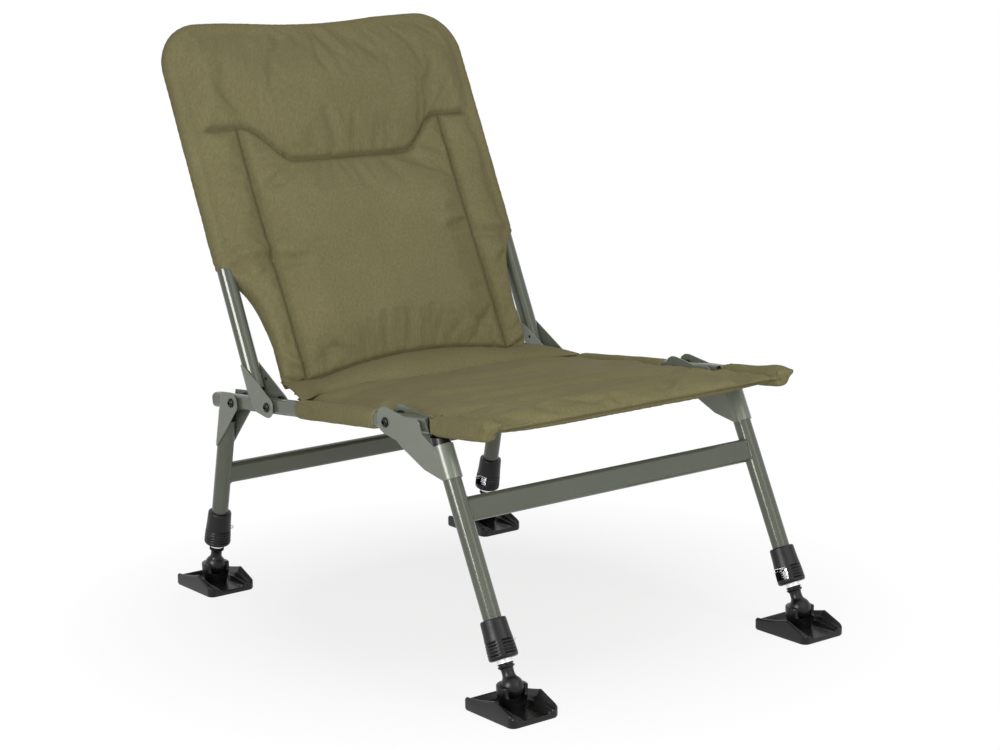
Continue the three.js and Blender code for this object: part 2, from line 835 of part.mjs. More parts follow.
// A pair of legs with their crossbar; a positive lean sets the feet forward
function legFrameGroup(place, leanDegrees, legY, drop, tubeTop, crossbarDrop, bracketShape, plugShape) {
  const frame = new THREE.Group();
  frame.rotation.x = -leanDegrees * degree;
  for (const [side, sign] of sides) {
    const leg = meshOf(`${place}_leg_${side}`, legTubeGeometry(drop, tubeTop), 'frame');
    leg.position.set(sign * railX, legY, 0);
    const bracket = meshOf(`${place}_leg_bracket_${side}`, bracketShape(), 'bracket');
    bracket.position.x = sign * railX;
    const plug = meshOf(`${place}_leg_plug_${side}`, plugShape(), 'blackPlastic');
    plug.position.x = sign * railX;
    frame.add(leg, bracket, plug);
    addFoot(frame, `${place}_${side}`, sign, legY, drop, leanDegrees);
  }
  const crossbar = meshOf(`${place}_crossbar`, crossbarGeometry(), 'frame');
  crossbar.position.set(0, legY, -crossbarDrop);
  frame.add(crossbar);
  return frame;
}

// Back frame: one tube bent into an inverted U, whose top sags a little; y = 0 is the tube's middle

const backShoulder = backFrameHeight - backCornerRadius;
const backStraight = railX - backCornerRadius;

function backTopHeight(x) {
  const sagShare = (1 + Math.cos((Math.PI * x) / backStraight)) / 2;
  return backFrameHeight - backTopSag * sagShare;
}

function sweptBar(radius, points, steps) {
  const section = arcPoints(0, 0, radius, 0, 360 - 360 / backBendSides, backBendSides - 1);
  return new THREE.ExtrudeGeometry(outlineShape(section), {
    steps,
    extrudePath: new THREE.CatmullRomCurve3(points.map(([x, z]) => new THREE.Vector3(x, 0, z))),
    bevelEnabled: false,
  });
}

// The U as a solid bar; its bends and its top run a little into each other
function backBar(radius, bottom) {
  const corner = arcPoints(backStraight, backShoulder, backCornerRadius, 0, 90, 2 * backCornerSteps);
  const bend = sweptBar(radius, [[railX, backShoulder - overrun], ...corner], backCornerSteps);
  const topPoints = Array.from({ length: 2 * backTopSteps + 1 }, (_, i) => {
    const x = backStraight * (i / backTopSteps - 1);
    return [x, backTopHeight(x)];
  });
  const reach = backStraight + overrun;
  const top = sweptBar(
    radius,
    [[-reach, backFrameHeight], ...topPoints, [reach, backFrameHeight]],
    backTopSteps,
  );
  const uprights = sides.map(([, sign]) => (
    moved(barAlongZ(radius, bottom, backShoulder), sign * railX, 0, 0)
  ));
  return joined(top, bend, bend.clone().rotateZ(Math.PI), ...uprights);
}

function backFrameGeometry() {
  return moved(
    cut(backBar(tubeRadius, backTubeBottom), backBar(tubeBore, backTubeBottom - overrun)),
    0,
    backTubeOffset,
    0,
  );
}

// Back cushion, in the same frame as the back tube

function smooth(from, to, value) {
  return THREE.MathUtils.smoothstep(value, from, to);
}

const pocketHalf = tubeRadius + pocketWall;

// Half the padding's width at a height: within the pocket it ends inside the tube's sleeve
function paddingHalfWidth(z) {
  if (z >= pocketBottom) {
    const above = Math.max(0, z - backShoulder);
    return backStraight + Math.sqrt(Math.max(0, backCornerRadius ** 2 - above ** 2));
  }
  const inside = railX - bracketOutside - seatingGap;
  const waist = smooth(cushionWaistHeight, pocketBottom, z);
  const hip = 1 - smooth(cushionBottom, cushionWaistHeight, z);
  return railX - cushionWaistInset
    + (inside - railX + cushionWaistInset) * waist
    + (cushionWaistInset - cushionHipInset) * hip;
}

function headSeamHeight(x) {
  const rise = smooth(railX - headSeamLowInset, railX - headSeamHighInset, Math.abs(x));
  return headSeamLow + (headSeamHigh - headSeamLow) * rise;
}

// Depth of the sewn seams at a place on the cushion's front
function seamDip(x, z) {
  const groove = (distance) => Math.exp(-((distance / seamWidth) ** 2));
  const head = headSeamHeight(x);
  const side = z < head ? groove(Math.abs(x) - railX + seamInset) : 0;
  return seamDepth * Math.max(groove(z - head), side);
}

// How far the cushion's front and rear stand in front of the tube's middle, at a share of its width
function cushionFaces(x, z, share) {
  const rounded = 1 - share ** 6;
  const inPocket = smooth(cushionBottom, pocketBottom, z);
  const edge = smooth(pocketBottom - pocketHalf, pocketBottom, z) * (pocketHalf - pocketTuck)
    + (1 - smooth(pocketBottom - pocketHalf, pocketBottom, z)) * (cushionEdgeThickness / 2);
  const middle = (cushionFrontReach - cushionThickness / 2) * (1 - inPocket);
  const belowTop = smooth(0, 2 * pocketHalf, backFrameHeight - z);
  const upperFront = pocketHalf - pocketTuck + cushionCrown * belowTop;
  const upperRear = pocketHalf - pocketTuck - cushionDraw * belowTop;
  const front = cushionFrontReach + (upperFront - cushionFrontReach) * inPocket;
  const rear = cushionFrontReach - cushionThickness + (cushionThickness - cushionFrontReach - upperRear) * inPocket;
  return [
    middle + edge + (front - middle - edge) * rounded - seamDip(x, z),
    middle - edge + (rear - middle + edge) * rounded,
  ];
}

// Columns as shares of the half width, and rows as shares of the way up each part of the cushion
const cushionColumnShares = [0, 0.36, 0.64, 0.716, 0.79, 0.92, 1];
const lowerRowShares = [0, 0.06, 0.5, 1];
const panelRowShares = [0, 0.45, 0.86, 1];
const headRowShares = [0.12, 0.4, 0.75, 1];

function cushionGeometry() {
  const mirrored = cushionColumnShares.slice(1).reverse().map((share) => -share);
  const columnShares = [...mirrored, ...cushionColumnShares];
  const between = (low, high, shares) => shares.map((share) => low + (high - low) * share);
  const heightsAt = (x) => [
    ...between(cushionBottom, pocketBottom - pocketStep, lowerRowShares),
    ...between(pocketBottom, headSeamHeight(x), panelRowShares),
    ...between(headSeamHeight(x), backFrameHeight, headRowShares),
  ];
  const pointAt = (face) => (column, row) => {
    const share = columnShares[column];
    const z = heightsAt(share * railX)[row];
    const x = share * paddingHalfWidth(z);
    const sag = (backFrameHeight - backTopHeight(x)) * smooth(headSeamHigh, backFrameHeight, z);
    return [x, -cushionFaces(x, z, Math.abs(share))[face], z - sag];
  };
  const rows = heightsAt(0).length - 1;
  const padding = paddedSolid(columnShares.length - 1, rows, pointAt(0), pointAt(1));
  const pocket = joined(padding, backBar(pocketHalf, pocketBottom));
  return moved(cut(pocket, backBar(tubeRadius + seatingGap, cushionBottom - overrun)), 0, backTubeOffset, 0);
}

function backGroup() {
  const back = new THREE.Group();
  back.position.y = backPivotReach;
  back.rotation.x = -backRailDegrees * degree;
  back.add(meshOf('back_frame', backFrameGeometry(), 'frame'));
  back.add(meshOf('back_cushion', cushionGeometry(), 'cloth'));
  for (const [side, sign] of sides) {
    const bracket = meshOf(`back_bracket_${side}`, backBracketGeometry(), 'bracket');
    bracket.position.x = sign * railX;
    const plug = meshOf(`back_tube_plug_${side}`, plugGeometry(), 'blackPlastic');
    plug.rotation.x = Math.PI;
    plug.position.set(sign * railX, backTubeOffset, backTubeBottom);
    back.add(bracket, plug);
  }
  return back;
}

// Seat cloth, in the rails' frame

function seatHalfWidth(reach) {
  const wide = railX - railHalfWidth - sleeveGap - sleeveWall / 2;
  const behindFrontSleeve = smooth(-frontSleeveEnd - notchRun, -frontSleeveEnd, reach);
  const beforeRearSleeve = 1 - smooth(rearSleeveStart, rearSleeveStart + notchRun, reach);
  const behindRearSleeve = smooth(rearSleeveEnd, seatCreaseReach, reach);
  const notch = Math.max(Math.min(behindFrontSleeve, beforeRearSleeve), behindRearSleeve);
  return wide - (wide - railX + notchInset) * notch;
}

// Heights of the cloth's upper and lower side above the rails' middle
function seatFaces(share, x, reach) {
  const belly = 1 - share ** 4;
  const intoFront = Math.min(1, (reach + seatFrontReach) / seatNose);
  const nose = Math.sqrt(1 - (1 - intoFront) ** 2);
  const rollAt = (reach + seatFrontReach - 2 * seatNose) / (2 * seatNose);
  const roll = seatFrontRoll * Math.exp(-(rollAt ** 2));
  const fold = seatFoldDepth * Math.sin((2 * Math.PI * (Math.abs(x) + reach)) / seatFoldPitch);
  const flap = smooth(rearSleeveEnd, seatCreaseReach, reach);
  const climb = Math.max(0, (reach - seatCreaseReach) / (flapReach - seatCreaseReach));
  const upper = seatEdgeThickness / 2 + (seatCrown + roll + fold) * belly * nose;
  const lower = -seatEdgeThickness / 2 - seatSag * belly * nose;
  const flapUpper = seatEdgeThickness / 2 + seatCrown + (flapRise - seatCrown) * climb;
  return [
    upper + (flapUpper - upper) * flap,
    lower + (flapUpper - flapThickness - lower) * flap,
  ];
}

// Rows of the sheet, as shares of its length
const seatRowShares = [
  0, 0.012, 0.045, 0.12, 0.183, 0.214, 0.3, 0.39, 0.469, 0.5, 0.66, 0.854, 0.897, 1,
];
const seatColumns = 10;

function seatClothGeometry() {
  const pointAt = (face) => (column, row) => {
    const reach = -seatFrontReach + (seatFrontReach + flapReach) * seatRowShares[row];
    const share = Math.sin((Math.PI / 2) * ((2 * column) / seatColumns - 1));
    const x = seatHalfWidth(reach) * share;
    return [x, reach, seatFaces(share, x, reach)[face]];
  };
  const sheet = paddedSolid(seatColumns, seatRowShares.length - 1, pointAt(0), pointAt(1));
  const sleeves = [];
  const tunnels = [];
  for (const [, sign] of sides) {
    for (const [from, to] of [[-seatFrontReach, -frontSleeveEnd], [rearSleeveStart, rearSleeveEnd]]) {
      sleeves.push(moved(railBar(sleeveGap + sleeveWall, from, to), sign * railX, 0, 0));
    }
    const tunnelFront = -railFrontReach - frontCapLength - seatingGap;
    tunnels.push(moved(railBar(sleeveGap, tunnelFront, railRearReach), sign * railX, 0, 0));
  }
  return cut(joined(sheet, ...sleeves), ...tunnels);
}

function chairGroup() {
  const rails = new THREE.Group();
  rails.position.z = frontPivotHeight;
  rails.rotation.x = -railSlopeDegrees * degree;
  addRails(rails);
  addPivots(rails);
  rails.add(meshOf('seat_cloth', seatClothGeometry(), 'cloth'));
  rails.add(backGroup());

  const frontLegs = legFrameGroup(
    'front',
    frontLeanDegrees,
    -frontLegOffset,
    frontBallDrop,
    frontTubeTop,
    frontCrossbarDrop,
    frontBracketGeometry,
    frontPlugGeometry,
  );
  frontLegs.position.z = frontPivotHeight;

  const rearLegs = legFrameGroup(
    'rear',
    -rearLeanDegrees,
    rearLegOffset,
    rearBallDrop,
    rearTubeTop,
    rearCrossbarDrop,
    rearBracketGeometry,
    rearPlugGeometry,
  );
  rearLegs.position.set(0, rearPivotReach * Math.cos(railSlopeDegrees * degree), rearPivotHeight);

  return new THREE.Group().add(rails, frontLegs, rearLegs);
}

// The chair stands on z = 0, with the middle of its box over the origin
const chair = chairGroup();
chair.updateMatrixWorld(true);
const space = new THREE.Box3().setFromObject(chair, true);
chair.position.set(-(space.min.x + space.max.x) / 2, -(space.min.y + space.max.y) / 2, -space.min.z);
chair.updateMatrixWorld(true);

console.log(`spring clip: the wire's least gap to itself is ${leastWireGap().toFixed(2)} mm`);

export default chair;
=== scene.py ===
# %% [markdown]
# # A low folding fishing chair
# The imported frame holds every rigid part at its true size. This script dresses it: painted tubes,
# pressed brackets, moulded feet and padded cloth, each in a short cell of its own. All lengths
# that are written down are millimetres, and a placing matrix turns them into Blender's metres.

# %% Load the frame
import json
import math

import bmesh
import bpy
from mathutils import Matrix, Vector, noise


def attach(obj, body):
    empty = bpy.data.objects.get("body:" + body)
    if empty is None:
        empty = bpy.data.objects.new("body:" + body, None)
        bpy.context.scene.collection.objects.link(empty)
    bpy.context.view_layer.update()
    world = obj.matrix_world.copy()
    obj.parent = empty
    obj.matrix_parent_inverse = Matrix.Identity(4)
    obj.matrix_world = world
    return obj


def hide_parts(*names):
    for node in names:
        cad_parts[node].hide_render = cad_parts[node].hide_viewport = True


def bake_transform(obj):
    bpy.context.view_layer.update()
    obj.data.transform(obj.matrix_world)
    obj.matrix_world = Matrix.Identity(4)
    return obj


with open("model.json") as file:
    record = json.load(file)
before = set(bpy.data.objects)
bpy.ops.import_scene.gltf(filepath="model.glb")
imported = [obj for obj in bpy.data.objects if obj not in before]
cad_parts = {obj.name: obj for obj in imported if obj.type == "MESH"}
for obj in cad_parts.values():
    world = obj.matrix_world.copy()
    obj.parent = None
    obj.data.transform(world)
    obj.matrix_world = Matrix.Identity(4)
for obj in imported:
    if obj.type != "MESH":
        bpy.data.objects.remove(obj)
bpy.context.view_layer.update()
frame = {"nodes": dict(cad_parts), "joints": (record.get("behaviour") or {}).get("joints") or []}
scene = bpy.context.scene
MM = 0.001
print("frame loaded:", len(frame["nodes"]), "nodes")

# %% [markdown]
# The camera stands to the sitter's right, a little above the seat, with a long lens. Its three
# axes are built from an azimuth, an elevation and a small roll, which is easier to tune by hand
# than three Euler angles.

# %% Camera
CAMERA_PLACE = Vector((-1910.2, -2525.7, 984.9)) * MM
CAMERA_AZIMUTH = math.radians(-37.58)
CAMERA_ELEVATION = math.radians(11.60)
CAMERA_ROLL = math.radians(-0.88)
CAMERA_LENS = 82.79

camera_data = bpy.data.cameras.new("camera")
camera_data.lens = CAMERA_LENS
camera = bpy.data.objects.new("camera", camera_data)
scene.collection.objects.link(camera)
scene.camera = camera
backward = Vector((
    math.sin(CAMERA_AZIMUTH) * math.cos(CAMERA_ELEVATION),
    -math.cos(CAMERA_AZIMUTH) * math.cos(CAMERA_ELEVATION),
    math.sin(CAMERA_ELEVATION),
))
rightward = Vector((math.cos(CAMERA_AZIMUTH), math.sin(CAMERA_AZIMUTH), 0))
upward = backward.cross(rightward)
level = Matrix((rightward, upward, backward)).transposed().to_4x4()
camera.matrix_world = Matrix.Translation(CAMERA_PLACE) @ level @ Matrix.Rotation(CAMERA_ROLL, 4, "Z")
scene.view_settings.view_transform = "Standard"

# %% [markdown]
# Small helpers keep the shader code short. One adds a node with its inputs set, one turns a colour
# as it is read off a screen into the linear values that the shader wants, and the others make the
# few patterns that all the materials share.


# %% Node helpers
def screen_colour(levels):
    def linear(value):
        value /= 255
        return value / 12.92 if value <= 0.04045 else ((value + 0.055) / 1.055) ** 2.4

    return (*(linear(value) for value in levels), 1.0)


def add_node(tree, kind, inputs=None, **settings):
    made = tree.nodes.new(kind)
    for name, value in settings.items():
        setattr(made, name, value)
    for name, value in (inputs or {}).items():
        if isinstance(value, bpy.types.NodeSocket):
            tree.links.new(value, made.inputs[name])
        else:
            made.inputs[name].default_value = value
    return made


def new_material(name, colour, **constants):
    material = bpy.data.materials.new(name)
    material.use_nodes = True
    shader = material.node_tree.nodes["Principled BSDF"]
    shader.inputs["Base Color"].default_value = colour
    for socket, value in constants.items():
        shader.inputs[socket.replace("_", " ")].default_value = value
    return material, material.node_tree, shader


def noise_at(tree, scale, detail=2.0, roughness=0.5, stretch=(1, 1, 1)):
    place = add_node(tree, "ShaderNodeTexCoord")
    mapping = add_node(tree, "ShaderNodeMapping", {"Vector": place.outputs["Object"], "Scale": stretch})
    return add_node(tree, "ShaderNodeTexNoise", {
        "Vector": mapping.outputs["Vector"], "Scale": scale, "Detail": detail, "Roughness": roughness,
    }).outputs["Fac"]


def ramp_between(tree, value, low, high, first, last):
    ramp = add_node(tree, "ShaderNodeValToRGB", {"Fac": value})
    for element, place, colour in zip(ramp.color_ramp.elements, (low, high), (first, last)):
        element.position = place
        element.color = colour
    return ramp.outputs["Color"]


def bumped(tree, shader, height, strength, depth):
    inputs = {"Height": height, "Strength": strength, "Distance": depth * MM}
    bump = add_node(tree, "ShaderNodeBump", inputs)
    tree.links.new(bump.outputs["Normal"], shader.inputs["Normal"])


def moved_range(tree, value, seen, wanted):
    """A value moved from the range it has to the range that is wanted."""
    limits = dict(zip(("From Min", "From Max", "To Min", "To Max"), (*seen, *wanted)))
    return add_node(tree, "ShaderNodeMapRange", {"Value": value, **limits}).outputs["Result"]


def combined(tree, operation, first, second):
    math_node = add_node(tree, "ShaderNodeMath", {0: first, 1: second}, operation=operation)
    return math_node.outputs["Value"]


def multiplied(tree, first, second):
    """One colour times another."""
    mix = add_node(tree, "ShaderNodeMix", data_type="RGBA", blend_type="MULTIPLY")
    mix.inputs[0].default_value = 1.0
    tree.links.new(first, mix.inputs[6])
    tree.links.new(second, mix.inputs[7])
    return mix.outputs[2]


# %% [markdown]
# Powder coat is baked plastic dust: satin, a touch uneven like the skin of an orange, and rubbed
# paler where hands and straps touch it. Two noises do that: a fine one for the skin, and a broad
# one that shifts the colour and the gloss a little.

# %% Painted metal
PAINT_METALLIC = 0.1
PAINT_PATCHES = 14
PAINT_SKIN = 900


def powder_coat(name, colour, pale, roughness):
    colour, pale = screen_colour(colour), screen_colour(pale)
    material, tree, shader = new_material(name, colour, Metallic=PAINT_METALLIC)
    broad = noise_at(tree, PAINT_PATCHES, 4, 0.6)
    tree.links.new(ramp_between(tree, broad, 0.25, 0.8, colour, pale), shader.inputs["Base Color"])
    gloss = moved_range(tree, broad, (0.2, 0.8), (roughness - 0.015, roughness + 0.02))
    tree.links.new(gloss, shader.inputs["Roughness"])
    bumped(tree, shader, noise_at(tree, PAINT_SKIN, 1), 0.05, 0.05)
    return material


frame_paint = powder_coat("grey_green_paint", (86, 90, 77), (91, 95, 82), 0.17)
bracket_paint = powder_coat("pressing_paint", (121, 126, 113), (126, 131, 118), 0.26)
rail_paint = powder_coat("rail_paint", (102, 107, 94), (107, 112, 98), 0.2)

# %% [markdown]
# The feet and grips are moulded nylon: nearly black, with a fine spark-eroded grain and dusty
# scuffs. The fasteners are blackened steel, and the inner legs and clips are bright plated steel
# with faint draw marks along their length.

# %% Plastic and steel
NYLON_SCUFFS = 45
NYLON_GRAIN = 1600
DRAW_MARKS = 700


def moulded_plastic(name, colour, pale, roughness):
    colour, pale = screen_colour(colour), screen_colour(pale)
    material, tree, shader = new_material(name, colour, Roughness=roughness, Specular_IOR_Level=0.32)
    tone = ramp_between(tree, noise_at(tree, NYLON_SCUFFS, 5, 0.65), 0.5, 0.8, colour, pale)
    tree.links.new(tone, shader.inputs["Base Color"])
    bumped(tree, shader, noise_at(tree, NYLON_GRAIN, 2), 0.25, 0.06)
    return material


def plated_steel(name, colour, roughness, along, metallic=1.0):
    material, tree, shader = new_material(name, screen_colour(colour), Metallic=metallic)
    marks = noise_at(tree, DRAW_MARKS, 2, 0.5, along)
    gloss = moved_range(tree, marks, (0.3, 0.7), (roughness * 0.7, roughness * 1.4))
    tree.links.new(gloss, shader.inputs["Roughness"])
    bumped(tree, shader, marks, 0.08, 0.02)
    return material


black_nylon = moulded_plastic("black_nylon", (12, 12, 12), (22, 22, 21), 0.34)
grip_nylon = moulded_plastic("grip_nylon", (12, 12, 12), (23, 23, 22), 0.4)
black_steel = plated_steel("blackened_steel", (34, 34, 35), 0.32, (1, 1, 1), 0.75)
bright_steel = plated_steel("bright_plate", (232, 233, 234), 0.24, (1, 1, 0.05))
wire_steel = plated_steel("spring_wire", (226, 228, 230), 0.2, (1, 1, 1))

# %% [markdown]
# The cloth is a plain woven polyester. Two sets of bands crossed at right angles make the threads,
# and the higher of the two wins at each crossing, as warp and weft do. A broad noise lets the dye
# vary, and a little sheen lifts the edges, as the loose fibres of real cloth do. In and beside the
# seams the colour is darkened to half at most: that is painted shade, read from the seam attribute.

# %% Woven cloth
THREAD_PITCH = 0.95
BAND_LENGTH = 2 * math.pi / 20
DYE_PATCHES = 7
SLUBS = 380


def woven(name, colour, pale, lean_degrees):
    colour, pale = screen_colour(colour), screen_colour(pale)
    material, tree, shader = new_material(
        name, colour, Roughness=0.88, Sheen_Weight=0.01, Sheen_Roughness=0.4, Specular_IOR_Level=0.25,
    )
    place = add_node(tree, "ShaderNodeTexCoord")
    turned_place = add_node(tree, "ShaderNodeMapping", {
        "Vector": place.outputs["Object"], "Rotation": (math.radians(lean_degrees), 0, 0),
    })
    threads = []
    for direction in ("X", "Z"):
        wave = add_node(tree, "ShaderNodeTexWave", {
            "Vector": turned_place.outputs["Vector"],
            "Scale": BAND_LENGTH / (THREAD_PITCH * MM),
            "Distortion": 1.2,
            "Detail": 1.0,
            "Detail Scale": 0.3,
        }, bands_direction=direction)
        threads.append(wave.outputs["Fac"])
    tone = ramp_between(tree, noise_at(tree, DYE_PATCHES, 3, 0.55), 0.3, 0.7, colour, pale)
    slub = noise_at(tree, SLUBS, 2, 0.6, (1, 1, 0.35))
    speck = ramp_between(tree, slub, 0.3, 0.72, (0.86, 0.86, 0.86, 1), (1.1, 1.1, 1.1, 1))
    # Painted seam shade: the colour darkens towards half in and beside the sewn lines, where their
    # creases are shaded.
    seam = add_node(tree, "ShaderNodeAttribute", attribute_name="seam")
    painted_seam_shade = ramp_between(tree, seam.outputs["Fac"], 0.1, 1.0, (1, 1, 1, 1), (0.5, 0.5, 0.5, 1))
    dyed_and_seam_shaded = multiplied(tree, multiplied(tree, tone, speck), painted_seam_shade)
    tree.links.new(dyed_and_seam_shaded, shader.inputs["Base Color"])
    bumped(tree, shader, combined(tree, "MAXIMUM", *threads), 0.3, 0.12)
    return material


BACK_LEAN = 24.6
RAIL_SLOPE = 5.54
back_cloth = woven("olive_back_cloth", (119, 113, 77), (128, 122, 85), BACK_LEAN)
seat_cloth = woven("olive_seat_cloth", (120, 114, 77), (128, 122, 84), RAIL_SLOPE - 90)

# %% [markdown]
# Three frames of reference do all the placing. The seat frame slopes with its rails, the back
# leans on its pivots, and each leg leans from the ball of its foot. A matrix for each takes
# millimetres in that frame straight to metres in the chair's own frame.

# %% Frames of reference
joints = {joint["name"]: joint for joint in frame["joints"]}
FRONT_LEAN = 25.7
REAR_LEAN = -12.95


def leaning_frame(place, lean_degrees):
    turn = Matrix.Rotation(-math.radians(lean_degrees), 4, "X")
    return Matrix.Translation(place) @ turn @ Matrix.Scale(MM, 4)


rail_frame = leaning_frame(joints["front_leg_fold"]["pos_m"], RAIL_SLOPE)
back_frame = leaning_frame(joints["back_fold"]["pos_m"], BACK_LEAN)
legs = {"front": FRONT_LEAN, "rear": REAR_LEAN}
sides = {"left": 1, "right": -1}
RAIL_X = 250.0


def ball_of(place, side):
    return Vector(joints[f"foot_tilt_{place}_{side}"]["pos_m"])


# %% [markdown]
# Every new piece ends the same way: doubles merged, faces turned outwards, the mesh put in place,
# smooth shading kept off the sharp edges, and a ride on the body that carries it. Where the frame
# has a node for the piece, the piece stands for it. The other helpers are the few shapes that most
# of the chair is made from: a turned profile, a rounded bar, a wire and a cut.

# %% Piece helpers
WELD = 0.002


def smooth(low, high, value):
    """0 below low, 1 above high and an even curve between."""
    share = max(0.0, min(1.0, (value - low) / (high - low)))
    return share * share * (3 - 2 * share)


def near(distance, width):
    """1 at no distance, falling off over the width."""
    return math.exp(-((distance / width) ** 2))


def finished(bm, name, place, material, body, slot, node=None, sharp=38):
    bmesh.ops.remove_doubles(bm, verts=bm.verts, dist=WELD)
    bmesh.ops.recalc_face_normals(bm, faces=bm.faces)
    bm.transform(place)
    mesh = bpy.data.meshes.new(name)
    bm.to_mesh(mesh)
    bm.free()
    mesh.shade_smooth()
    mesh.set_sharp_from_angle(angle=math.radians(sharp))
    mesh.materials.append(material)
    made = bpy.data.objects.new(name, mesh)
    scene.collection.objects.link(made)
    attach(made, body)
    if node:
        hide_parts(node)
    return made


def bevelled(bm, edges, offset, segments):
    bmesh.ops.bevel(
        bm, geom=edges, offset=offset, segments=segments, profile=0.5, affect="EDGES", material=-1,
    )
    return bm


def turned(profile, steps=48):
    """A profile of (radius, height) points, spun about the z axis."""
    bm = bmesh.new()
    verts = [bm.verts.new((radius, 0, z)) for radius, z in profile]
    edges = [bm.edges.new(pair) for pair in zip(verts, verts[1:])]
    bmesh.ops.spin(
        bm, geom=verts + edges, cent=(0, 0, 0), axis=(0, 0, 1), angle=2 * math.pi, steps=steps,
        use_merge=True,
    )
    bmesh.ops.remove_doubles(bm, verts=bm.verts, dist=WELD)
    return bm


def tube_profile(outer, wall, low, high):
    inner = outer - wall
    return [(inner, low), (outer, low), (outer, high), (inner, high), (inner, low)]


def crown_profile(radius, rise, base, last, step):
    """A domed outline from its rim at a base height up to an angle in degrees."""
    turns = [math.radians(degrees) for degrees in range(0, last + 1, step)]
    return [(radius * math.cos(turn), base + rise * math.sin(turn)) for turn in turns]


def ball_profile(radius, middle, last, step):
    """A ball's outline from its lowest point round to an angle in degrees."""
    turns = [math.radians(degrees) for degrees in range(0, last + 1, step)]
    return [(radius * math.sin(turn), middle - radius * math.cos(turn)) for turn in turns]


def rounded_bar(size, radius, axis, segments=5):
    """A block whose edges along one axis (0, 1 or 2) are rounded."""
    bm = bmesh.new()
    bmesh.ops.create_cube(bm, size=1)
    bmesh.ops.scale(bm, vec=size, verts=bm.verts)
    along = [e for e in bm.edges if abs((e.verts[0].co - e.verts[1].co)[axis]) > size[axis] / 2]
    return bevelled(bm, along, radius, segments)


def prism(faces, radius, depth):
    """A closed column with that many faces, round its own middle."""
    bm = bmesh.new()
    bmesh.ops.create_cone(
        bm, cap_ends=True, segments=faces, radius1=radius, radius2=radius, depth=depth,
    )
    return bm


def grid(columns, rows, half=1):
    bm = bmesh.new()
    bmesh.ops.create_grid(bm, x_segments=columns, y_segments=rows, size=half)
    return bm


def open_edges(bm):
    return [e for e in bm.edges if e.is_boundary]


def verts_in(geometry):
    return [g for g in geometry if isinstance(g, bmesh.types.BMVert)]


def edges_in(geometry):
    return [g for g in geometry if isinstance(g, bmesh.types.BMEdge)]


def kept_shape(node, name, edge, *look_and_ride):
    """A piece with the frame's own shape, merged and with its edges softened."""
    bm = bmesh.new()
    bm.from_mesh(frame["nodes"][node].data)
    bmesh.ops.scale(bm, vec=(1 / MM, 1 / MM, 1 / MM), verts=bm.verts)
    bmesh.ops.remove_doubles(bm, verts=bm.verts, dist=WELD)
    bmesh.ops.dissolve_limit(bm, angle_limit=math.radians(1), verts=bm.verts, edges=bm.edges)
    made = finished(bm, f"{name}_{node}", Matrix.Scale(MM, 4), *look_and_ride, node, 32)
    bevel = made.modifiers.new("soft edge", "BEVEL")
    bevel.width = edge * MM
    bevel.segments = 2
    bevel.limit_method = "ANGLE"
    bevel.angle_limit = math.radians(50)


def evaluated(made):
    bpy.context.view_layer.update()
    graph = bpy.context.evaluated_depsgraph_get()
    return bpy.data.meshes.new_from_object(made.evaluated_get(graph))


def temporary(bm, name):
    mesh = bpy.data.meshes.new(name)
    bm.to_mesh(mesh)
    bm.free()
    made = bpy.data.objects.new(name, mesh)
    scene.collection.objects.link(made)
    return made


def carved(bm, cutter):
    """The bmesh with another taken from it."""
    bmesh.ops.recalc_face_normals(bm, faces=bm.faces)
    bmesh.ops.recalc_face_normals(cutter, faces=cutter.faces)
    stock = temporary(bm, "stock")
    tool = temporary(cutter, "tool")
    cut = stock.modifiers.new("cut", "BOOLEAN")
    cut.operation = "DIFFERENCE"
    cut.object = tool
    cut.solver = "EXACT"
    mesh = evaluated(stock)
    result = bmesh.new()
    result.from_mesh(mesh)
    for used in (stock, tool):
        bpy.data.objects.remove(used)
    bpy.data.meshes.remove(mesh)
    return result


def wire(points, radius, closed=False):
    """A round wire along points, as a bmesh."""
    curve = bpy.data.curves.new("wire", "CURVE")
    curve.dimensions = "3D"
    curve.bevel_depth = radius
    curve.bevel_resolution = 2
    curve.use_fill_caps = True
    spline = curve.splines.new("POLY")
    spline.points.add(len(points) - 1)
    for at, point in zip(spline.points, points):
        at.co = (*point, 1)
    spline.use_cyclic_u = closed
    holder = bpy.data.objects.new("wire", curve)
    scene.collection.objects.link(holder)
    mesh = evaluated(holder)
    bm = bmesh.new()
    bm.from_mesh(mesh)
    bpy.data.objects.remove(holder)
    return bm


def shifted(bm, x=0.0, y=0.0, z=0.0):
    bmesh.ops.translate(bm, vec=(x, y, z), verts=bm.verts)
    return bm


def merged(first, *others):
    """Several bmeshes in one, as separate shells."""
    for other in others:
        mesh = bpy.data.meshes.new("part")
        other.to_mesh(mesh)
        other.free()
        first.from_mesh(mesh)
        bpy.data.meshes.remove(mesh)
    return first


# %% [markdown]
# The seat rails are rounded rectangular tube. A block with its long edges bevelled gives the exact
# section in two operators. The rear ends carry a domed cap in the frame's own colour.

# %% Rails and their caps
RAIL_SIZE = (18.0, 22.0)
RAIL_CORNER = 7.5
RAIL_FRONT = -199.0
RAIL_REAR = 440.0
REAR_CAP_LENGTH = 11.0
FRONT_CAP_LENGTH = 2.4
CAP_GAP = 0.3


def capped_end(length, from_y, sign):
    """A cap of the rail's section, whose far edge is rounded over."""
    bm = rounded_bar((RAIL_SIZE[0], length, RAIL_SIZE[1]), RAIL_CORNER, 1)
    far = [e for e in bm.edges if all(v.co.y * sign > length / 2 - WELD for v in e.verts)]
    bevelled(bm, far, min(length * 0.9, RAIL_CORNER * 0.85), 6)
    return shifted(bm, y=from_y + sign * (length / 2 + CAP_GAP))


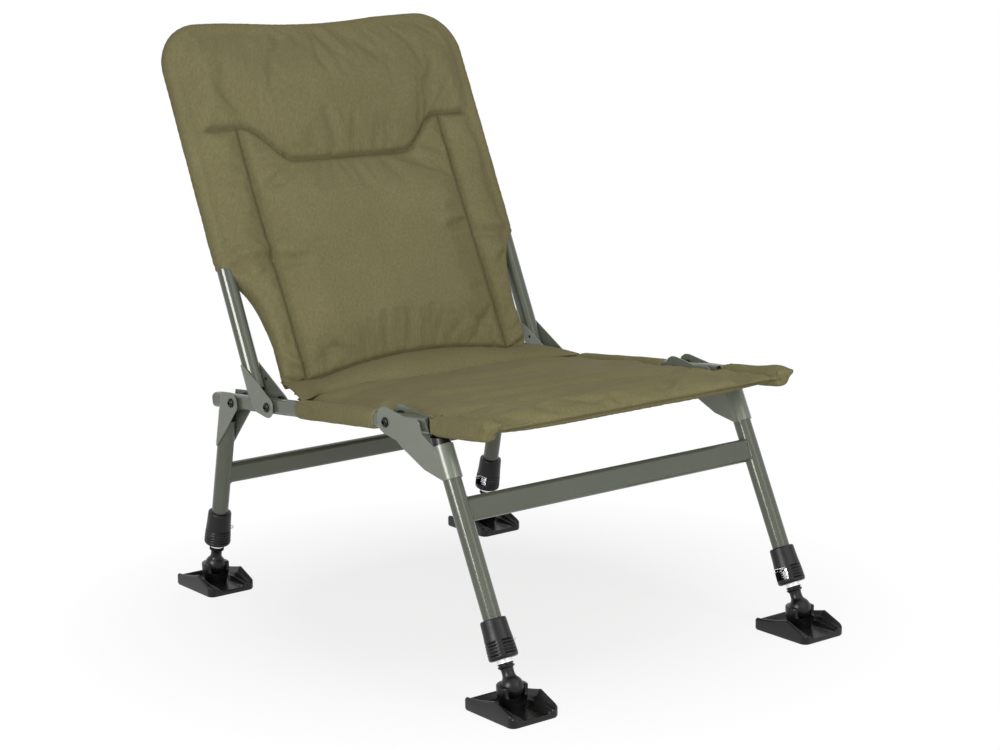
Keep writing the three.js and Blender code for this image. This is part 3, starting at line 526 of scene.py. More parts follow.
rail_length = RAIL_REAR - RAIL_FRONT
for side, sign in sides.items():
    rail = rounded_bar((RAIL_SIZE[0], rail_length, RAIL_SIZE[1]), RAIL_CORNER, 1, 6)
    shifted(rail, y=(RAIL_REAR + RAIL_FRONT) / 2)
    rear_cap = capped_end(REAR_CAP_LENGTH, RAIL_REAR, 1)
    front_cap = capped_end(FRONT_CAP_LENGTH, RAIL_FRONT, -1)
    for bm, name, material, slot, node in (
        (rail, "painted_rail", rail_paint, "frame", "seat_rail"),
        (rear_cap, "domed_cap", frame_paint, "frame", "rail_rear_cap"),
        (front_cap, "rail_plug", black_nylon, "black_plastic", "rail_front_cap"),
    ):
        finished(
            shifted(bm, sign * RAIL_X), f"{name}_{side}", rail_frame, material, "seat_frame",
            slot, f"{node}_{side}",
        )
print("rails:", round(rail_length), "mm long")

# %% [markdown]
# Each pivot is a button-head bolt with a hexagon socket, two black spacer washers beside the rail,
# and a collared nut inside. The head is a turned profile with a six-sided recess cut into it.

# %% Pivot bolts, washers and nuts
BRACKET_INSIDE = 12.3
BRACKET_OUTSIDE = 14.1
SEAT_GAP = 0.3
BOLT_RADIUS = 3.7
HEAD_RADIUS = 6.8
HEAD_HEIGHT = 3.6
HEAD_RIM = 0.8
SOCKET_RADIUS = 2.9
SPACER_RADIUS = 12.5
SPACER_EDGE = 0.5
NUT_RADIUS = 7.5
NUT_HEIGHT = 6.5
NUT_COLLAR = 8.0
TAIL = 1.5
PIVOT_REACH = {"front": 0.0, "back": 290.2, "rear": 386.2}
FINE_SHARP = 30


def bolt_shape():
    base = BRACKET_OUTSIDE + SEAT_GAP
    top = base + HEAD_HEIGHT
    tail = base + NUT_HEIGHT + TAIL
    crown = crown_profile(HEAD_RADIUS, HEAD_HEIGHT - HEAD_RIM, base + HEAD_RIM, 60, 12)
    profile = [(0, -tail), (BOLT_RADIUS - 0.5, -tail), (BOLT_RADIUS, -tail + 0.5), (BOLT_RADIUS, base)]
    profile += [(HEAD_RADIUS, base)] + crown + [(HEAD_RADIUS * 0.45, top), (0, top)]
    socket = prism(6, SOCKET_RADIUS, HEAD_HEIGHT)
    return carved(turned(profile, 40), shifted(socket, z=top - 0.2))


def washer_shape(low):
    thickness = BRACKET_INSIDE - RAIL_SIZE[0] / 2 - 2 * SEAT_GAP
    high, edge = low + thickness, SPACER_RADIUS - SPACER_EDGE
    profile = [
        (BOLT_RADIUS, low), (edge, low), (SPACER_RADIUS, low + SPACER_EDGE),
        (SPACER_RADIUS, high - SPACER_EDGE), (edge, high), (BOLT_RADIUS, high), (BOLT_RADIUS, low),
    ]
    return turned(profile, 40)


def nut_shape():
    face = BRACKET_OUTSIDE + SEAT_GAP
    bm = prism(6, NUT_RADIUS, NUT_HEIGHT)
    rims = [e for e in bm.edges if abs(e.verts[0].co.z - e.verts[1].co.z) < WELD]
    shifted(bevelled(bm, rims, 0.7, 2), z=-face - NUT_HEIGHT / 2)
    collar = [
        (BOLT_RADIUS, 0), (NUT_COLLAR - 0.4, 0), (NUT_COLLAR, 0.4), (NUT_COLLAR, 1.2),
        (BOLT_RADIUS, 1.8), (BOLT_RADIUS, 0),
    ]
    return merged(bm, turned([(r, -face - z) for r, z in collar], 40))


for place, reach in PIVOT_REACH.items():
    for side, sign in sides.items():
        along_x = Matrix.Rotation(sign * math.pi / 2, 4, "Y")
        spot = rail_frame @ Matrix.Translation((sign * RAIL_X, reach, 0)) @ along_x
        for bm, name, material, node in (
            (bolt_shape(), "button_bolt", black_steel, f"{place}_pivot_bolt_{side}"),
            (washer_shape(RAIL_SIZE[0] / 2 + SEAT_GAP), "spacer_outer", black_nylon, None),
            (washer_shape(-BRACKET_INSIDE + SEAT_GAP), "spacer_inner", black_nylon, None),
            (nut_shape(), "lock_nut", black_steel, f"{place}_pivot_nut_{side}"),
        ):
            name = f"{name}_{place}_{side}"
            finished(bm, name, spot, material, "seat_frame", "black_steel", node, FINE_SHARP)
print("pivots:", 2 * len(PIVOT_REACH))

# %% [markdown]
# The legs are round tube with a flattened oval crossbar welded between them. The bar runs just
# into the tube, as a saddle-cut bar does, and a ring of weld covers the joint. The ring is a wire
# whose skin wanders, because a hand-laid bead is never even.

# %% Legs and crossbars
ROUND_SHARP = 60
TUBE_RADIUS = 12.0
TUBE_WALL = 1.4
OUTER_TUBE_BOTTOM = 64.8
TUBE_TOP = {"front": 313.5, "rear": 233.9}
CROSSBAR_MIDDLE = {"front": 227.55, "rear": 147.5}
CROSSBAR_HEIGHT = 32.0
CROSSBAR_DEPTH = 16.0
BEAD_RADIUS = 1.7
BEAD_WANDER = 0.7
BEAD_WANDER_SCALE = 0.35


def leg_frame(place, side):
    return leaning_frame(ball_of(place, side), legs[place])


def weld_ring(sign, middle):
    """Points where the crossbar's outline meets the round leg."""
    half_flat = CROSSBAR_HEIGHT / 2 - CROSSBAR_DEPTH / 2
    points = []
    for end in (1, -1):
        for step in range(13):
            angle = math.pi * step / 12 * end
            y = CROSSBAR_DEPTH / 2 * math.cos(angle) * end
            z = CROSSBAR_DEPTH / 2 * math.sin(angle) + end * half_flat
            x = RAIL_X - math.sqrt(TUBE_RADIUS ** 2 - y ** 2) + 0.2
            points.append((sign * x, y, middle + z))
    return points


def weld_bead(sign, middle):
    bm = wire(weld_ring(sign, middle), BEAD_RADIUS, closed=True)
    for v in bm.verts:
        v.co += Vector(noise.noise_vector(v.co * BEAD_WANDER_SCALE)) * BEAD_WANDER
    return bm


for place, lean in legs.items():
    paint_and_ride = (frame_paint, f"{place}_legs", "frame")
    for side in sides:
        tube = turned(tube_profile(TUBE_RADIUS, TUBE_WALL, OUTER_TUBE_BOTTOM, TUBE_TOP[place]))
        name = f"painted_leg_{place}_{side}"
        finished(tube, name, leg_frame(place, side), *paint_and_ride, f"{place}_leg_{side}")
    middle_frame = leaning_frame((ball_of(place, "left") + ball_of(place, "right")) / 2, lean)
    reach = 2 * (RAIL_X - math.sqrt(TUBE_RADIUS ** 2 - (CROSSBAR_DEPTH / 2) ** 2)) + 1
    bar = rounded_bar((reach, CROSSBAR_DEPTH, CROSSBAR_HEIGHT), CROSSBAR_DEPTH / 2 - 0.3, 0, 7)
    shifted(bar, z=CROSSBAR_MIDDLE[place])
    finished(bar, f"oval_crossbar_{place}", middle_frame, *paint_and_ride, f"{place}_crossbar")
    for side, sign in sides.items():
        bead = weld_bead(sign, CROSSBAR_MIDDLE[place])
        finished(bead, f"weld_{place}_{side}", middle_frame, *paint_and_ride, sharp=ROUND_SHARP)
    print(place, "crossbar:", round(reach), "mm wide")

# %% [markdown]
# The brackets keep the shape that the frame gives them, because they fit the tubes and the pivots
# exactly. A merged copy takes a fine bevel on its sheared edges, which catches the light as real
# pressed steel does. Rivets pin the inner plates of the back and rear ones to their tubes.

# %% Brackets and rivets
SHEAR_BEVEL = 0.45
RIVET_RADIUS = 2.6
RIVET_HEIGHT = 1.0
RIVET_SUNK = 0.4
brackets = {
    "front_leg_bracket": "front_legs",
    "rear_leg_bracket": "rear_legs",
    "back_bracket": "back",
}
for kind, body in brackets.items():
    for side in sides:
        kept_shape(f"{kind}_{side}", "pressed", SHEAR_BEVEL, bracket_paint, body, "bracket")

rivets = {
    "back": (back_frame, "back", [(34.4, 24.4), (24.9, 45.4)]),
    "rear": (None, "rear_legs", [(-3.8, 222.4)]),
}


def rivet_shape():
    shank = [(0, -RIVET_SUNK), (RIVET_RADIUS, -RIVET_SUNK)]
    return turned(shank + crown_profile(RIVET_RADIUS, RIVET_HEIGHT, 0, 90, 15), 24)


for place, (holder, body, spots) in rivets.items():
    for side, sign in sides.items():
        carrier = holder or leg_frame(place, side)
        offset = sign * RAIL_X if holder else 0.0
        for number, (y, z) in enumerate(spots, 1):
            for face, outward, depth in (("out", sign, BRACKET_INSIDE), ("in", -sign, BRACKET_OUTSIDE)):
                spot = Matrix.Translation((offset - sign * depth, y, z))
                lie = Matrix.Rotation(outward * math.pi / 2, 4, "Y")
                name = f"rivet_{place}_{side}_{number}_{face}"
                lying = carrier @ spot @ lie
                finished(rivet_shape(), name, lying, black_steel, body, "black_steel", sharp=50)
print("brackets:", len(brackets) * len(sides))

# %% [markdown]
# The back frame is one tube bent into a U upside down. A circle is extruded up one side, spun
# round each corner and run across the top, and the top then gets the slight sag it has from being
# sat against. Solidify gives it the wall, and normals weighted by area keep the long straight
# faces evenly shaded beside its narrow rim.

# %% Back tube
BACK_Y = 35.5
BACK_BOTTOM = 34.0
BACK_TOP = 568.5
BACK_SAG = 9.0
BACK_CORNER = 56.0
BACK_SHOULDER = BACK_TOP - BACK_CORNER
BACK_STRAIGHT = RAIL_X - BACK_CORNER
BEND_STEPS = 12
TOP_STEPS = 24


def top_sag(x):
    return BACK_SAG * (1 + math.cos(math.pi * max(-1, min(1, x / BACK_STRAIGHT)))) / 2


def back_tube_shape(radius, foot, faces=32):
    bm = bmesh.new()
    ring = bmesh.ops.create_circle(bm, segments=faces, radius=radius)["verts"]
    shifted(bm, -RAIL_X, 0, foot)
    edges = list({e for v in ring for e in v.link_edges})

    def drawn_on(edges, steps, vec):
        for _ in range(steps):
            out = bmesh.ops.extrude_edge_only(bm, edges=edges)["geom"]
            verts = verts_in(out)
            edges = [e for e in edges_in(out) if e.verts[0] in verts and e.verts[1] in verts]
            bmesh.ops.translate(bm, vec=vec, verts=verts)
        return edges

    def bent(edges, centre_x):
        geom = edges + list({v for e in edges for v in e.verts})
        return edges_in(bmesh.ops.spin(
            bm, geom=geom, cent=(centre_x, 0, BACK_SHOULDER), axis=(0, 1, 0), angle=math.pi / 2,
            steps=BEND_STEPS,
        )["geom_last"])

    edges = drawn_on(edges, 1, (0, 0, BACK_SHOULDER - foot))
    edges = bent(edges, -BACK_STRAIGHT)
    edges = drawn_on(edges, TOP_STEPS, (2 * BACK_STRAIGHT / TOP_STEPS, 0, 0))
    edges = bent(edges, BACK_STRAIGHT)
    drawn_on(edges, 1, (0, 0, foot - BACK_SHOULDER))
    for v in bm.verts:
        if v.co.z > BACK_SHOULDER and abs(v.co.x) < BACK_STRAIGHT:
            v.co.z -= top_sag(v.co.x)
    return shifted(bm, y=BACK_Y)


back_tube = finished(
    back_tube_shape(TUBE_RADIUS, BACK_BOTTOM), "bent_back_tube", back_frame, frame_paint, "back",
    "frame", "back_frame",
)
wall = back_tube.modifiers.new("wall", "SOLIDIFY")
wall.thickness = TUBE_WALL * MM
wall.offset = -1
back_tube.modifiers.new("even shading", "WEIGHTED_NORMAL")
print("back tube:", len(back_tube.data.vertices), "points")

# %% [markdown]
# Round plugs close the tube ends at the tops of the legs and at the foot of the back. They keep
# the frame's shape, with the edges softened and the nylon's own material.

# %% Tube plugs
PLUG_EDGE = 0.5
plugs = [(f"{place}_leg_plug_{side}", f"{place}_legs") for place in legs for side in sides]
plugs += [(f"back_tube_plug_{side}", "back") for side in sides]
for node, body in plugs:
    kept_shape(node, "nylon", PLUG_EDGE, black_nylon, body, "black_plastic")
print("plugs:", len(plugs))

# %% [markdown]
# The grip at each foot is a moulded sleeve: a slim collar on the leg that swells to a waisted
# lower half, with finger ribs on its outer side and a window on the inner side. The ribs are
# pressed into a finely spun profile, vertex by vertex, and the window is cut afterwards.

# %% Adjuster grips
GRIP_BOTTOM = 35.5
GRIP_TOP = 86.5
GRIP_SHOULDER = 64.5
LEG_BORE = 10.4
SOCKET_BORE = 12.3
GRIP_PROFILE = [
    (16.0, 35.5), (17.9, 36.0), (18.9, 37.4), (19.3, 39.6), (19.2, 44), (19.0, 50), (18.6, 56),
    (18.1, 62), (17.6, 68), (17.3, 74), (17.1, 80), (16.9, 84.3), (16.4, 85.8), (15.3, 86.5),
]
GRIP_STEP = 0.7
GRIP_SKIN = 14
RIB_FIRST = 41.5
RIB_PITCH = 4.1
RIB_COUNT = 5
RIB_DEPTH = 1.5
RIB_PANELS = [(180.0, 42.0), (88.0, 30.0)]
WINDOW_LOW = 42.5
WINDOW_HIGH = 59.5
WINDOW_WIDTH = 25.0
COIL_ROOM = 13.2
COIL_ROOM_ENDS = (41.5, 60.5)


def refined(profile):
    """The profile with points added, so that no step is longer than the limit."""
    points = [profile[0]]
    for (r0, z0), (r1, z1) in zip(profile, profile[1:]):
        dr, dz = r1 - r0, z1 - z0
        steps = max(1, math.ceil(math.hypot(dr, dz) / GRIP_STEP))
        points += [(r0 + dr * i / steps, z0 + dz * i / steps) for i in range(1, steps + 1)]
    return points


def rib_depth(angle, z):
    """How deep the finger ribs are pressed at a place; the window is at angle 0."""
    row = (z - RIB_FIRST) / RIB_PITCH
    if not -0.5 <= row <= RIB_COUNT - 0.5:
        return 0.0
    off_side = min(abs(abs(math.degrees(angle)) - middle) / half for middle, half in RIB_PANELS)
    panel = 1 - smooth(0.8, 1.1, off_side)
    return RIB_DEPTH * panel * (0.5 + 0.5 * math.cos(2 * math.pi * row)) ** 2


def grip_shape():
    low, high = COIL_ROOM_ENDS
    inner = [
        (SOCKET_BORE, GRIP_TOP), (SOCKET_BORE, GRIP_SHOULDER), (LEG_BORE, GRIP_SHOULDER),
        (LEG_BORE, high), (COIL_ROOM, high), (COIL_ROOM, low), (LEG_BORE, low),
        (LEG_BORE, GRIP_BOTTOM),
    ]
    bm = turned(refined(GRIP_PROFILE) + inner + [GRIP_PROFILE[0]], 80)
    for v in bm.verts:
        radius = math.hypot(v.co.x, v.co.y)
        if radius > GRIP_SKIN:
            pressed = rib_depth(math.atan2(v.co.y, v.co.x), v.co.z)
            v.co.x *= (radius - pressed) / radius
            v.co.y *= (radius - pressed) / radius
    window = rounded_bar((18, WINDOW_WIDTH, WINDOW_HIGH - WINDOW_LOW), 1.5, 0, 3)
    return carved(bm, shifted(window, 15, 0, (WINDOW_LOW + WINDOW_HIGH) / 2))


# %% [markdown]
# Inside the grip slides the bright inner leg, with a row of holes for the clip's pin. Below it are
# the nylon collar and neck, and the ball that the foot tilts on.

# %% Inner legs and stems
INNER_RADIUS = 10.0
INNER_WALL = 1.2
INNER_BOTTOM = 30.3
INNER_LENGTH = 172.0
HOLE_RADIUS = 2.6
HOLE_PITCH = 20.0
HOLE_COUNT = 6
PIN_LEVEL = 54.5
BALL_RADIUS = 15.0
NECK = [
    (8.3, 14.2), (8.0, 17), (8.0, 21.5), (8.6, 23.6), (10.2, 24.6), (10.8, 25.4), (10.8, 26.6),
    (10.2, 27.2),
]
COLLAR = [
    (9.4, 27.4), (9.4, 28.6), (10.4, 28.9), (10.6, 29.6), (10.2, 30.0), (8.5, 30.0), (8.5, 44),
    (0, 44),
]


def inner_leg_shape():
    high = INNER_BOTTOM + INNER_LENGTH
    bm = turned(tube_profile(INNER_RADIUS, INNER_WALL, INNER_BOTTOM, high), 40)
    on_its_side = Matrix.Rotation(math.pi / 2, 3, "Y")
    for number in range(HOLE_COUNT):
        drill = prism(16, HOLE_RADIUS, INNER_RADIUS)
        bmesh.ops.rotate(drill, cent=(0, 0, 0), matrix=on_its_side, verts=drill.verts)
        bm = carved(bm, shifted(drill, INNER_RADIUS, 0, PIN_LEVEL + number * HOLE_PITCH))
    return bm


def stem_shape():
    return turned(ball_profile(BALL_RADIUS, 0, 146, 7) + NECK + COLLAR)


# %% [markdown]
# A spring is wound round the inner leg, in a room inside the grip that the window opens. Its turns
# leave a gap for the clip, a hairpin of the same wire: one end is the pin that locks the leg, its
# loop stands out for a finger, and its other arm lies across the window. Both are wires drawn
# through a list of points, a helix for the spring and a half turn for the loop.

# %% Springs and clips
WIRE_RADIUS = 0.9
SPRING_RADIUS = 11.3
SPRING_BOTTOM = 42.5
SPRING_PITCH = 3.25
SPRING_TURNS = 4.75
STEPS_PER_TURN = 28
PIN_GAP = 1.3
HAIRPIN_REACH = 23.6
HAIRPIN_HALF = 1.9
HAIRPIN_ARM = [(17.5, 0.6), (15.4, 2.4), (14.6, 5.0), (14.4, 11.2)]


def spring_shape():
    points = []
    for i in range(int(SPRING_TURNS * STEPS_PER_TURN) + 1):
        turn = i / STEPS_PER_TURN
        angle = 2 * math.pi * turn
        z = SPRING_BOTTOM + SPRING_PITCH * turn + PIN_GAP * smooth(3, 4, turn)
        points.append((SPRING_RADIUS * math.cos(angle), SPRING_RADIUS * math.sin(angle), z))
    return wire(points, WIRE_RADIUS)


def clip_shape():
    points = [(INNER_RADIUS + SEAT_GAP, 0, PIN_LEVEL)]
    for step in range(13):
        angle = -math.pi / 2 + math.pi * step / 12
        out = HAIRPIN_REACH + HAIRPIN_HALF * math.cos(angle)
        points.append((out, 0, PIN_LEVEL + HAIRPIN_HALF * (1 + math.sin(angle))))
    points += [(x, y, PIN_LEVEL + 2 * HAIRPIN_HALF) for x, y in HAIRPIN_ARM]
    return wire(points, WIRE_RADIUS)


# %% [markdown]
# The mud foot is a wide plate with a raised wall along each side, ribbed on its inner slope, and a
# cup for the ball that is open to the front. Its upper side is a fine grid whose height follows a
# simple rule, closed down to a flat sole, and the cup is joined on.

# %% Mud feet
PAD_WIDTH = 76.0
PAD_FRONT = -48.0
PAD_BACK = 50.5
PAD_FLOOR = 7.0
FRONT_CORNER = 9.0
BACK_CORNER_RADIUS = 5.0
PAD_RISE = 34.6
WING_PEAK = 27.0
WING_PEAK_Y = -12.0
WING_FRONT = 12.5
WING_REAR = 16.5
WING_WALL = 3.4
WING_FOOT = 21.0
BACK_WALL = 14.0
WING_TOP_ROUND = 2.2
RIDGES = (0.42, 0.72)
RIDGE_HEIGHT = 2.2
RIDGE_WIDTH = 0.07
RIDGE_END = 6
RECESS = 2.4
RECESS_END = -6
EDGE_ROUND = 2.6
CUP_RADIUS = 20.0
CUP_TOP = 38.0
CUP_BOWL = [
    (4.6, 4), (4.4, 8), (3.4, 12), (2.0, 17), (0.8, 22), (0.2, 28), (0, 34), (0, 36.8),
    (0.4, 37.6), (1.2, 38),
]
CUP_ROOM = 0.4
CHEEK_REACH = 9.0
LIP_RADIUS = 13.0
LIP_LOW = 17.0
LIP_TOP = 24.0


def wing_top(y):
    front = WING_FRONT + (WING_PEAK - WING_FRONT) * (y - PAD_FRONT) / (WING_PEAK_Y - PAD_FRONT)
    rear = WING_REAR + (WING_PEAK - WING_REAR) * ((PAD_BACK - y) / (PAD_BACK - WING_PEAK_Y)) ** 1.6
    return min(front, rear)


def pad_height(x, y):
    """Height of the foot's upper side above the ground."""
    inset = PAD_WIDTH / 2 - abs(x)
    from_front, from_back = y - PAD_FRONT, PAD_BACK - y
    top = wing_top(y)
    if inset <= WING_WALL:
        height = top - WING_TOP_ROUND * (1 - smooth(0, 2.0, inset))
    elif inset < WING_FOOT:
        share = (inset - WING_WALL) / (WING_FOOT - WING_WALL)
        height = top + (PAD_FLOOR - top) * share ** 0.85
        if y < RIDGE_END:
            height += sum(RIDGE_HEIGHT * near(share - ridge, RIDGE_WIDTH) for ridge in RIDGES)
    else:
        deep = RECESS if y < RECESS_END else 0
        height = PAD_FLOOR - deep * smooth(WING_FOOT, WING_FOOT + 2, inset)
    if inset >= WING_FOOT - 4 and from_front < 5:
        height = max(height, PAD_FLOOR - 1.0)
    height = max(height, PAD_FLOOR + (BACK_WALL - PAD_FLOOR) * (1 - smooth(4, 12, from_back)))
    return height - EDGE_ROUND * (1 - smooth(0, 3.5, min(from_back, from_front + 2)))


def foot_pad_shape():
    bm = grid(95, 98)
    middle, depth = (PAD_FRONT + PAD_BACK) / 2, PAD_BACK - PAD_FRONT
    for v in bm.verts:
        x, y = v.co.x * PAD_WIDTH / 2, middle + v.co.y * depth / 2
        height = pad_height(x, y)
        corner = BACK_CORNER_RADIUS if y > 0 else FRONT_CORNER
        over = Vector((
            max(0.0, abs(x) - PAD_WIDTH / 2 + corner), max(0.0, abs(y - middle) - depth / 2 + corner),
        ))
        if over.x > 0 and over.y > 0:
            fit = max(over.x, over.y) / over.length
            x -= math.copysign(over.x * (1 - fit), x)
            y -= math.copysign(over.y * (1 - fit), y - middle)
        v.co = (x, y, height)
    for level, inset in ((2.4, 0.0), (0.0, 1.0)):
        drawn = bmesh.ops.extrude_edge_only(bm, edges=open_edges(bm))["geom"]
        for v in verts_in(drawn):
            v.co.x *= 1 - 2 * inset / PAD_WIDTH
            v.co.y *= 1 - 2 * inset / depth
            v.co.z = level
    bmesh.ops.holes_fill(bm, edges=open_edges(bm), sides=0)
    return bm


def cup_shape():
    outline = [(0, 4)] + [(CUP_RADIUS - off, z) for off, z in CUP_BOWL] + [(0, CUP_TOP)]
    hollow = ball_profile(BALL_RADIUS + CUP_ROOM, PAD_RISE, 180, 9)
    bm = carved(turned(outline, 56), turned(hollow))
    mouth = rounded_bar((4 * CUP_RADIUS, 2 * CUP_RADIUS, CUP_TOP), 3, 0, 3)
    bm = carved(bm, shifted(mouth, 0, -CUP_RADIUS - CHEEK_REACH, LIP_TOP + CUP_TOP / 2))
    scoop = rounded_bar((2 * LIP_RADIUS, 30, CUP_TOP), LIP_RADIUS - 0.5, 1, 10)
    return carved(bm, shifted(scoop, 0, -15 - CHEEK_REACH / 2, LIP_LOW + CUP_TOP / 2))


SCREW_PROFILE = [(0, 4.2), (2.4, 4.2), (2.4, 5.2), (2.0, 6.0), (0, 6.3)]
SCREW_SLOT = (6, 0.8, 2)
SCREW_SLOT_LEVEL = 6.7
SCREW_PLACE = (-6, -33)


def screw_shape():
    """The small bright screw in the floor of the recess."""
    slot = shifted(rounded_bar(SCREW_SLOT, 0.1, 0, 1), z=SCREW_SLOT_LEVEL)
    return shifted(carved(turned(SCREW_PROFILE, 20), slot), *SCREW_PLACE)


# %% [markdown]
# Every foot is the same set of pieces, put together on the ball. The left ones are turned half
# round on their legs, so that the window and the clip face inwards on both sides, while the mud
# foot itself stays level with the ground.

# %% Put the feet together
for place in legs:
    for side, sign in sides.items():
        name = f"{place}_{side}"
        turn = Matrix.Rotation(math.pi if sign > 0 else 0.0, 4, "Z")
        on_leg = leg_frame(place, side) @ turn
        level_foot = leaning_frame(ball_of(place, side), 0) @ Matrix.Translation((0, 0, -PAD_RISE))
        nylon = (grip_nylon, f"{place}_legs", "black_plastic")
        tube = (bright_steel, f"inner_{name}", "bright_steel")
        stem = (black_nylon, f"inner_{name}", "black_plastic")
        clip = (wire_steel, f"clip_{name}", "bright_steel")
        coil = (wire_steel, f"{place}_legs", "bright_steel")
        foot = (black_nylon, f"foot_{name}", "black_plastic")
        screw = (bright_steel, f"foot_{name}", "bright_steel")
        pad = merged(foot_pad_shape(), cup_shape())
        for bm, piece, spot, look_and_ride, node, sharp in (
            (grip_shape(), "grip", on_leg, nylon, f"adjuster_housing_{name}", 40),
            (inner_leg_shape(), "bright_leg", on_leg, tube, f"inner_leg_{name}", 38),
            (stem_shape(), "ball_stem", on_leg, stem, f"foot_stem_{name}", 38),
            (clip_shape(), "wire_clip", on_leg, clip, f"spring_clip_{name}", ROUND_SHARP),
            (spring_shape(), "spring_coil", on_leg, coil, None, ROUND_SHARP),
            (pad, "moulded_foot", level_foot, foot, f"mud_foot_{name}", FINE_SHARP),
            (screw_shape(), "foot_screw", level_foot, screw, None, FINE_SHARP),
        ):
            finished(bm, f"{piece}_{name}", spot, *look_and_ride, node, sharp)
print("feet:", len(legs) * len(sides))

# %% [markdown]
# Padded cloth is made in three steps. A closed form a little slimmer than the real pad is remeshed
# into even squares. Blender's Cloth then swells it from inside while the seams and sleeves hold,
# which makes the puckers no one draws by hand. Last come one subdivision and the sewn grooves.

# %% Cloth helpers
SIMULATION_FRAMES = 20
CLOTH_QUALITY = 5
CLOTH_MASS = 0.25
CLOTH_BENDING = 0.4
LEAST_HOLD = 0.05
CLOTH_SLACK = 0.03
LEAST_EDGE = 0.15


def padded_form(columns, rows, surface):
    """A closed pillow. surface(front, across, along) gives a point on its front or its back, from
    a share of -1 to 1 across and one of 0 to 1 along."""
    bm = grid(columns, rows)
    first = list(bm.verts)
    everything = list(bm.verts) + list(bm.edges) + list(bm.faces)
    second = verts_in(bmesh.ops.duplicate(bm, geom=everything)["geom"])
    for verts, front in ((first, True), (second, False)):
        for v in verts:
            v.co = surface(front, v.co.x, (v.co.y + 1) / 2)
    bmesh.ops.bridge_loops(bm, edges=open_edges(bm))
    bmesh.ops.recalc_face_normals(bm, faces=bm.faces)
    return bm


def remeshed(bm, voxel, place):
    """One even skin round everything in the bmesh, placed in metres."""
    made = temporary(bm, "form")
    made.data.transform(place)
    remesh = made.modifiers.new("skin", "REMESH")
    remesh.mode = "VOXEL"
    remesh.voxel_size = voxel * MM
    mesh = evaluated(made)
    bpy.data.objects.remove(made)
    skin = bpy.data.objects.new("skin", mesh)
    scene.collection.objects.link(skin)
    return skin


def rounded_in(distance, radius):
    """How far a rounded edge has risen at a distance from its rim, from 0 to 1."""
    return math.sqrt(max(0.0, 1 - (1 - min(1.0, distance / radius)) ** 2))


def swollen(skin, place, held, most, pressure):
    """Cloth simulation of a skin: held(point) says how firmly a point in millimetres is kept."""
    to_local = place.inverted()
    rest = [v.co.copy() for v in skin.data.vertices]
    group = skin.vertex_groups.new(name="held")
    for index, co in enumerate(rest):
        weight = held(to_local @ co)
        if weight > LEAST_HOLD:
            group.add([index], min(1.0, weight), "REPLACE")
    cloth = skin.modifiers.new("Cloth", "CLOTH")
    settings = cloth.settings
    settings.quality = CLOTH_QUALITY
    settings.mass = CLOTH_MASS
    settings.bending_stiffness = CLOTH_BENDING
    settings.vertex_group_mass = "held"
    settings.use_pressure = True
    settings.uniform_pressure_force = pressure
    settings.shrink_min = -CLOTH_SLACK
    settings.effector_weights.gravity = 0
    cloth.collision_settings.use_collision = False
    cloth.collision_settings.use_self_collision = False
    for number in range(1, SIMULATION_FRAMES + 1):
        scene.frame_set(number)
    mesh = evaluated(skin)
    scene.frame_set(1)
    skin.modifiers.remove(cloth)
    moved = 0.0
    for before, v in zip(rest, mesh.vertices):
        move = v.co - before
        moved = max(moved, move.length)
        if move.length > most * MM:
            v.co = before + move.normalized() * most * MM
    print("furthest move in the simulation:", round(moved / MM, 1), "mm")
    skin.data = mesh
    return skin


def subdivided(skin):
    smoother = skin.modifiers.new("even", "SUBSURF")
    smoother.levels = 1
    smoother.render_levels = smoother.levels
    mesh = evaluated(skin)
    skin.modifiers.remove(smoother)
    skin.data = mesh
    return skin


def pressed(skin, place, depth_at):
    """Presses the cloth in along its normals by depth_at(point), in millimetres."""
    to_local = place.inverted()
    vertices = skin.data.vertices
    moves = [v.normal * (depth_at(to_local @ v.co) * -MM) for v in vertices]
    for v, move in zip(vertices, moves):
        v.co += move
    return skin


def fold(u, w, start, end, width):
    """A soft fold between two points: one flank stands up and the other sinks."""
    along_u, along_w = end[0] - start[0], end[1] - start[1]
    length = math.hypot(along_u, along_w)
    along = ((u - start[0]) * along_u + (w - start[1]) * along_w) / length
    across = ((u - start[0]) * along_w - (w - start[1]) * along_u) / length
    fade = smooth(-0.12, 0.3, along / length) * (1 - smooth(0.7, 1.12, along / length))
    share = across / width
    if not fade or abs(share) >= 4:
        return 0.0
    return share * math.exp(0.5 - share * share / 2) * fade


def folded(folds, u, w):
    return sum(height * fold(u, w, start, end, width) for start, end, width, height in folds)


def dressed(skin, name, material, body=None, seam_shade_at=None, place=None):
    skin.name = name
    skin.data.name = name
    skin.data.materials.clear()
    skin.data.materials.append(material)
    skin.data.shade_smooth()
    # The seam attribute carries painted seam shade: how far the cloth's colour is darkened near each
    # sewn line.
    if seam_shade_at:
        to_local = place.inverted()
        seam = skin.data.attributes.new("seam", "FLOAT", "POINT")
        for item, v in zip(seam.data, skin.data.vertices):
            item.value = min(1.0, seam_shade_at(to_local @ v.co))
    if body:
        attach(skin, body)


# %% [markdown]
# The back cushion is a pocket pulled over the tube. Its front has a head roll above a curved seam,
# a wide middle panel, and a narrow panel down each side. Each panel is a low pillow: it rises fast
# beside a seam and then runs nearly flat. Below the pocket it draws in to a waist between the tubes.

# %% Back cushion's form
POCKET_HALF = 14.7
POCKET_BOTTOM = 213.0
CUSHION_BOTTOM = 25.0
SIDE_SEAM = 179.0
SLAB_REACH = 8.0
CUSHION_EDGE = 9
HALF_WIDTHS = [
    (20, 215), (35, 218), (50, 217), (90, 215.5), (115, 217), (138, 220), (155, 224), (171, 231),
    (182, 237), (192, 244), (205, 255), (213, 261),
]
HEAD_SEAM = 358
HEAD_SEAM_RISE = 55
BOTTOM_SEAM = 48
HEAD_PILLOW = (14.0, 14.0)
MIDDLE_PILLOW = (11.0, 22.0)
SIDE_PILLOW = (10.5, 13.0)


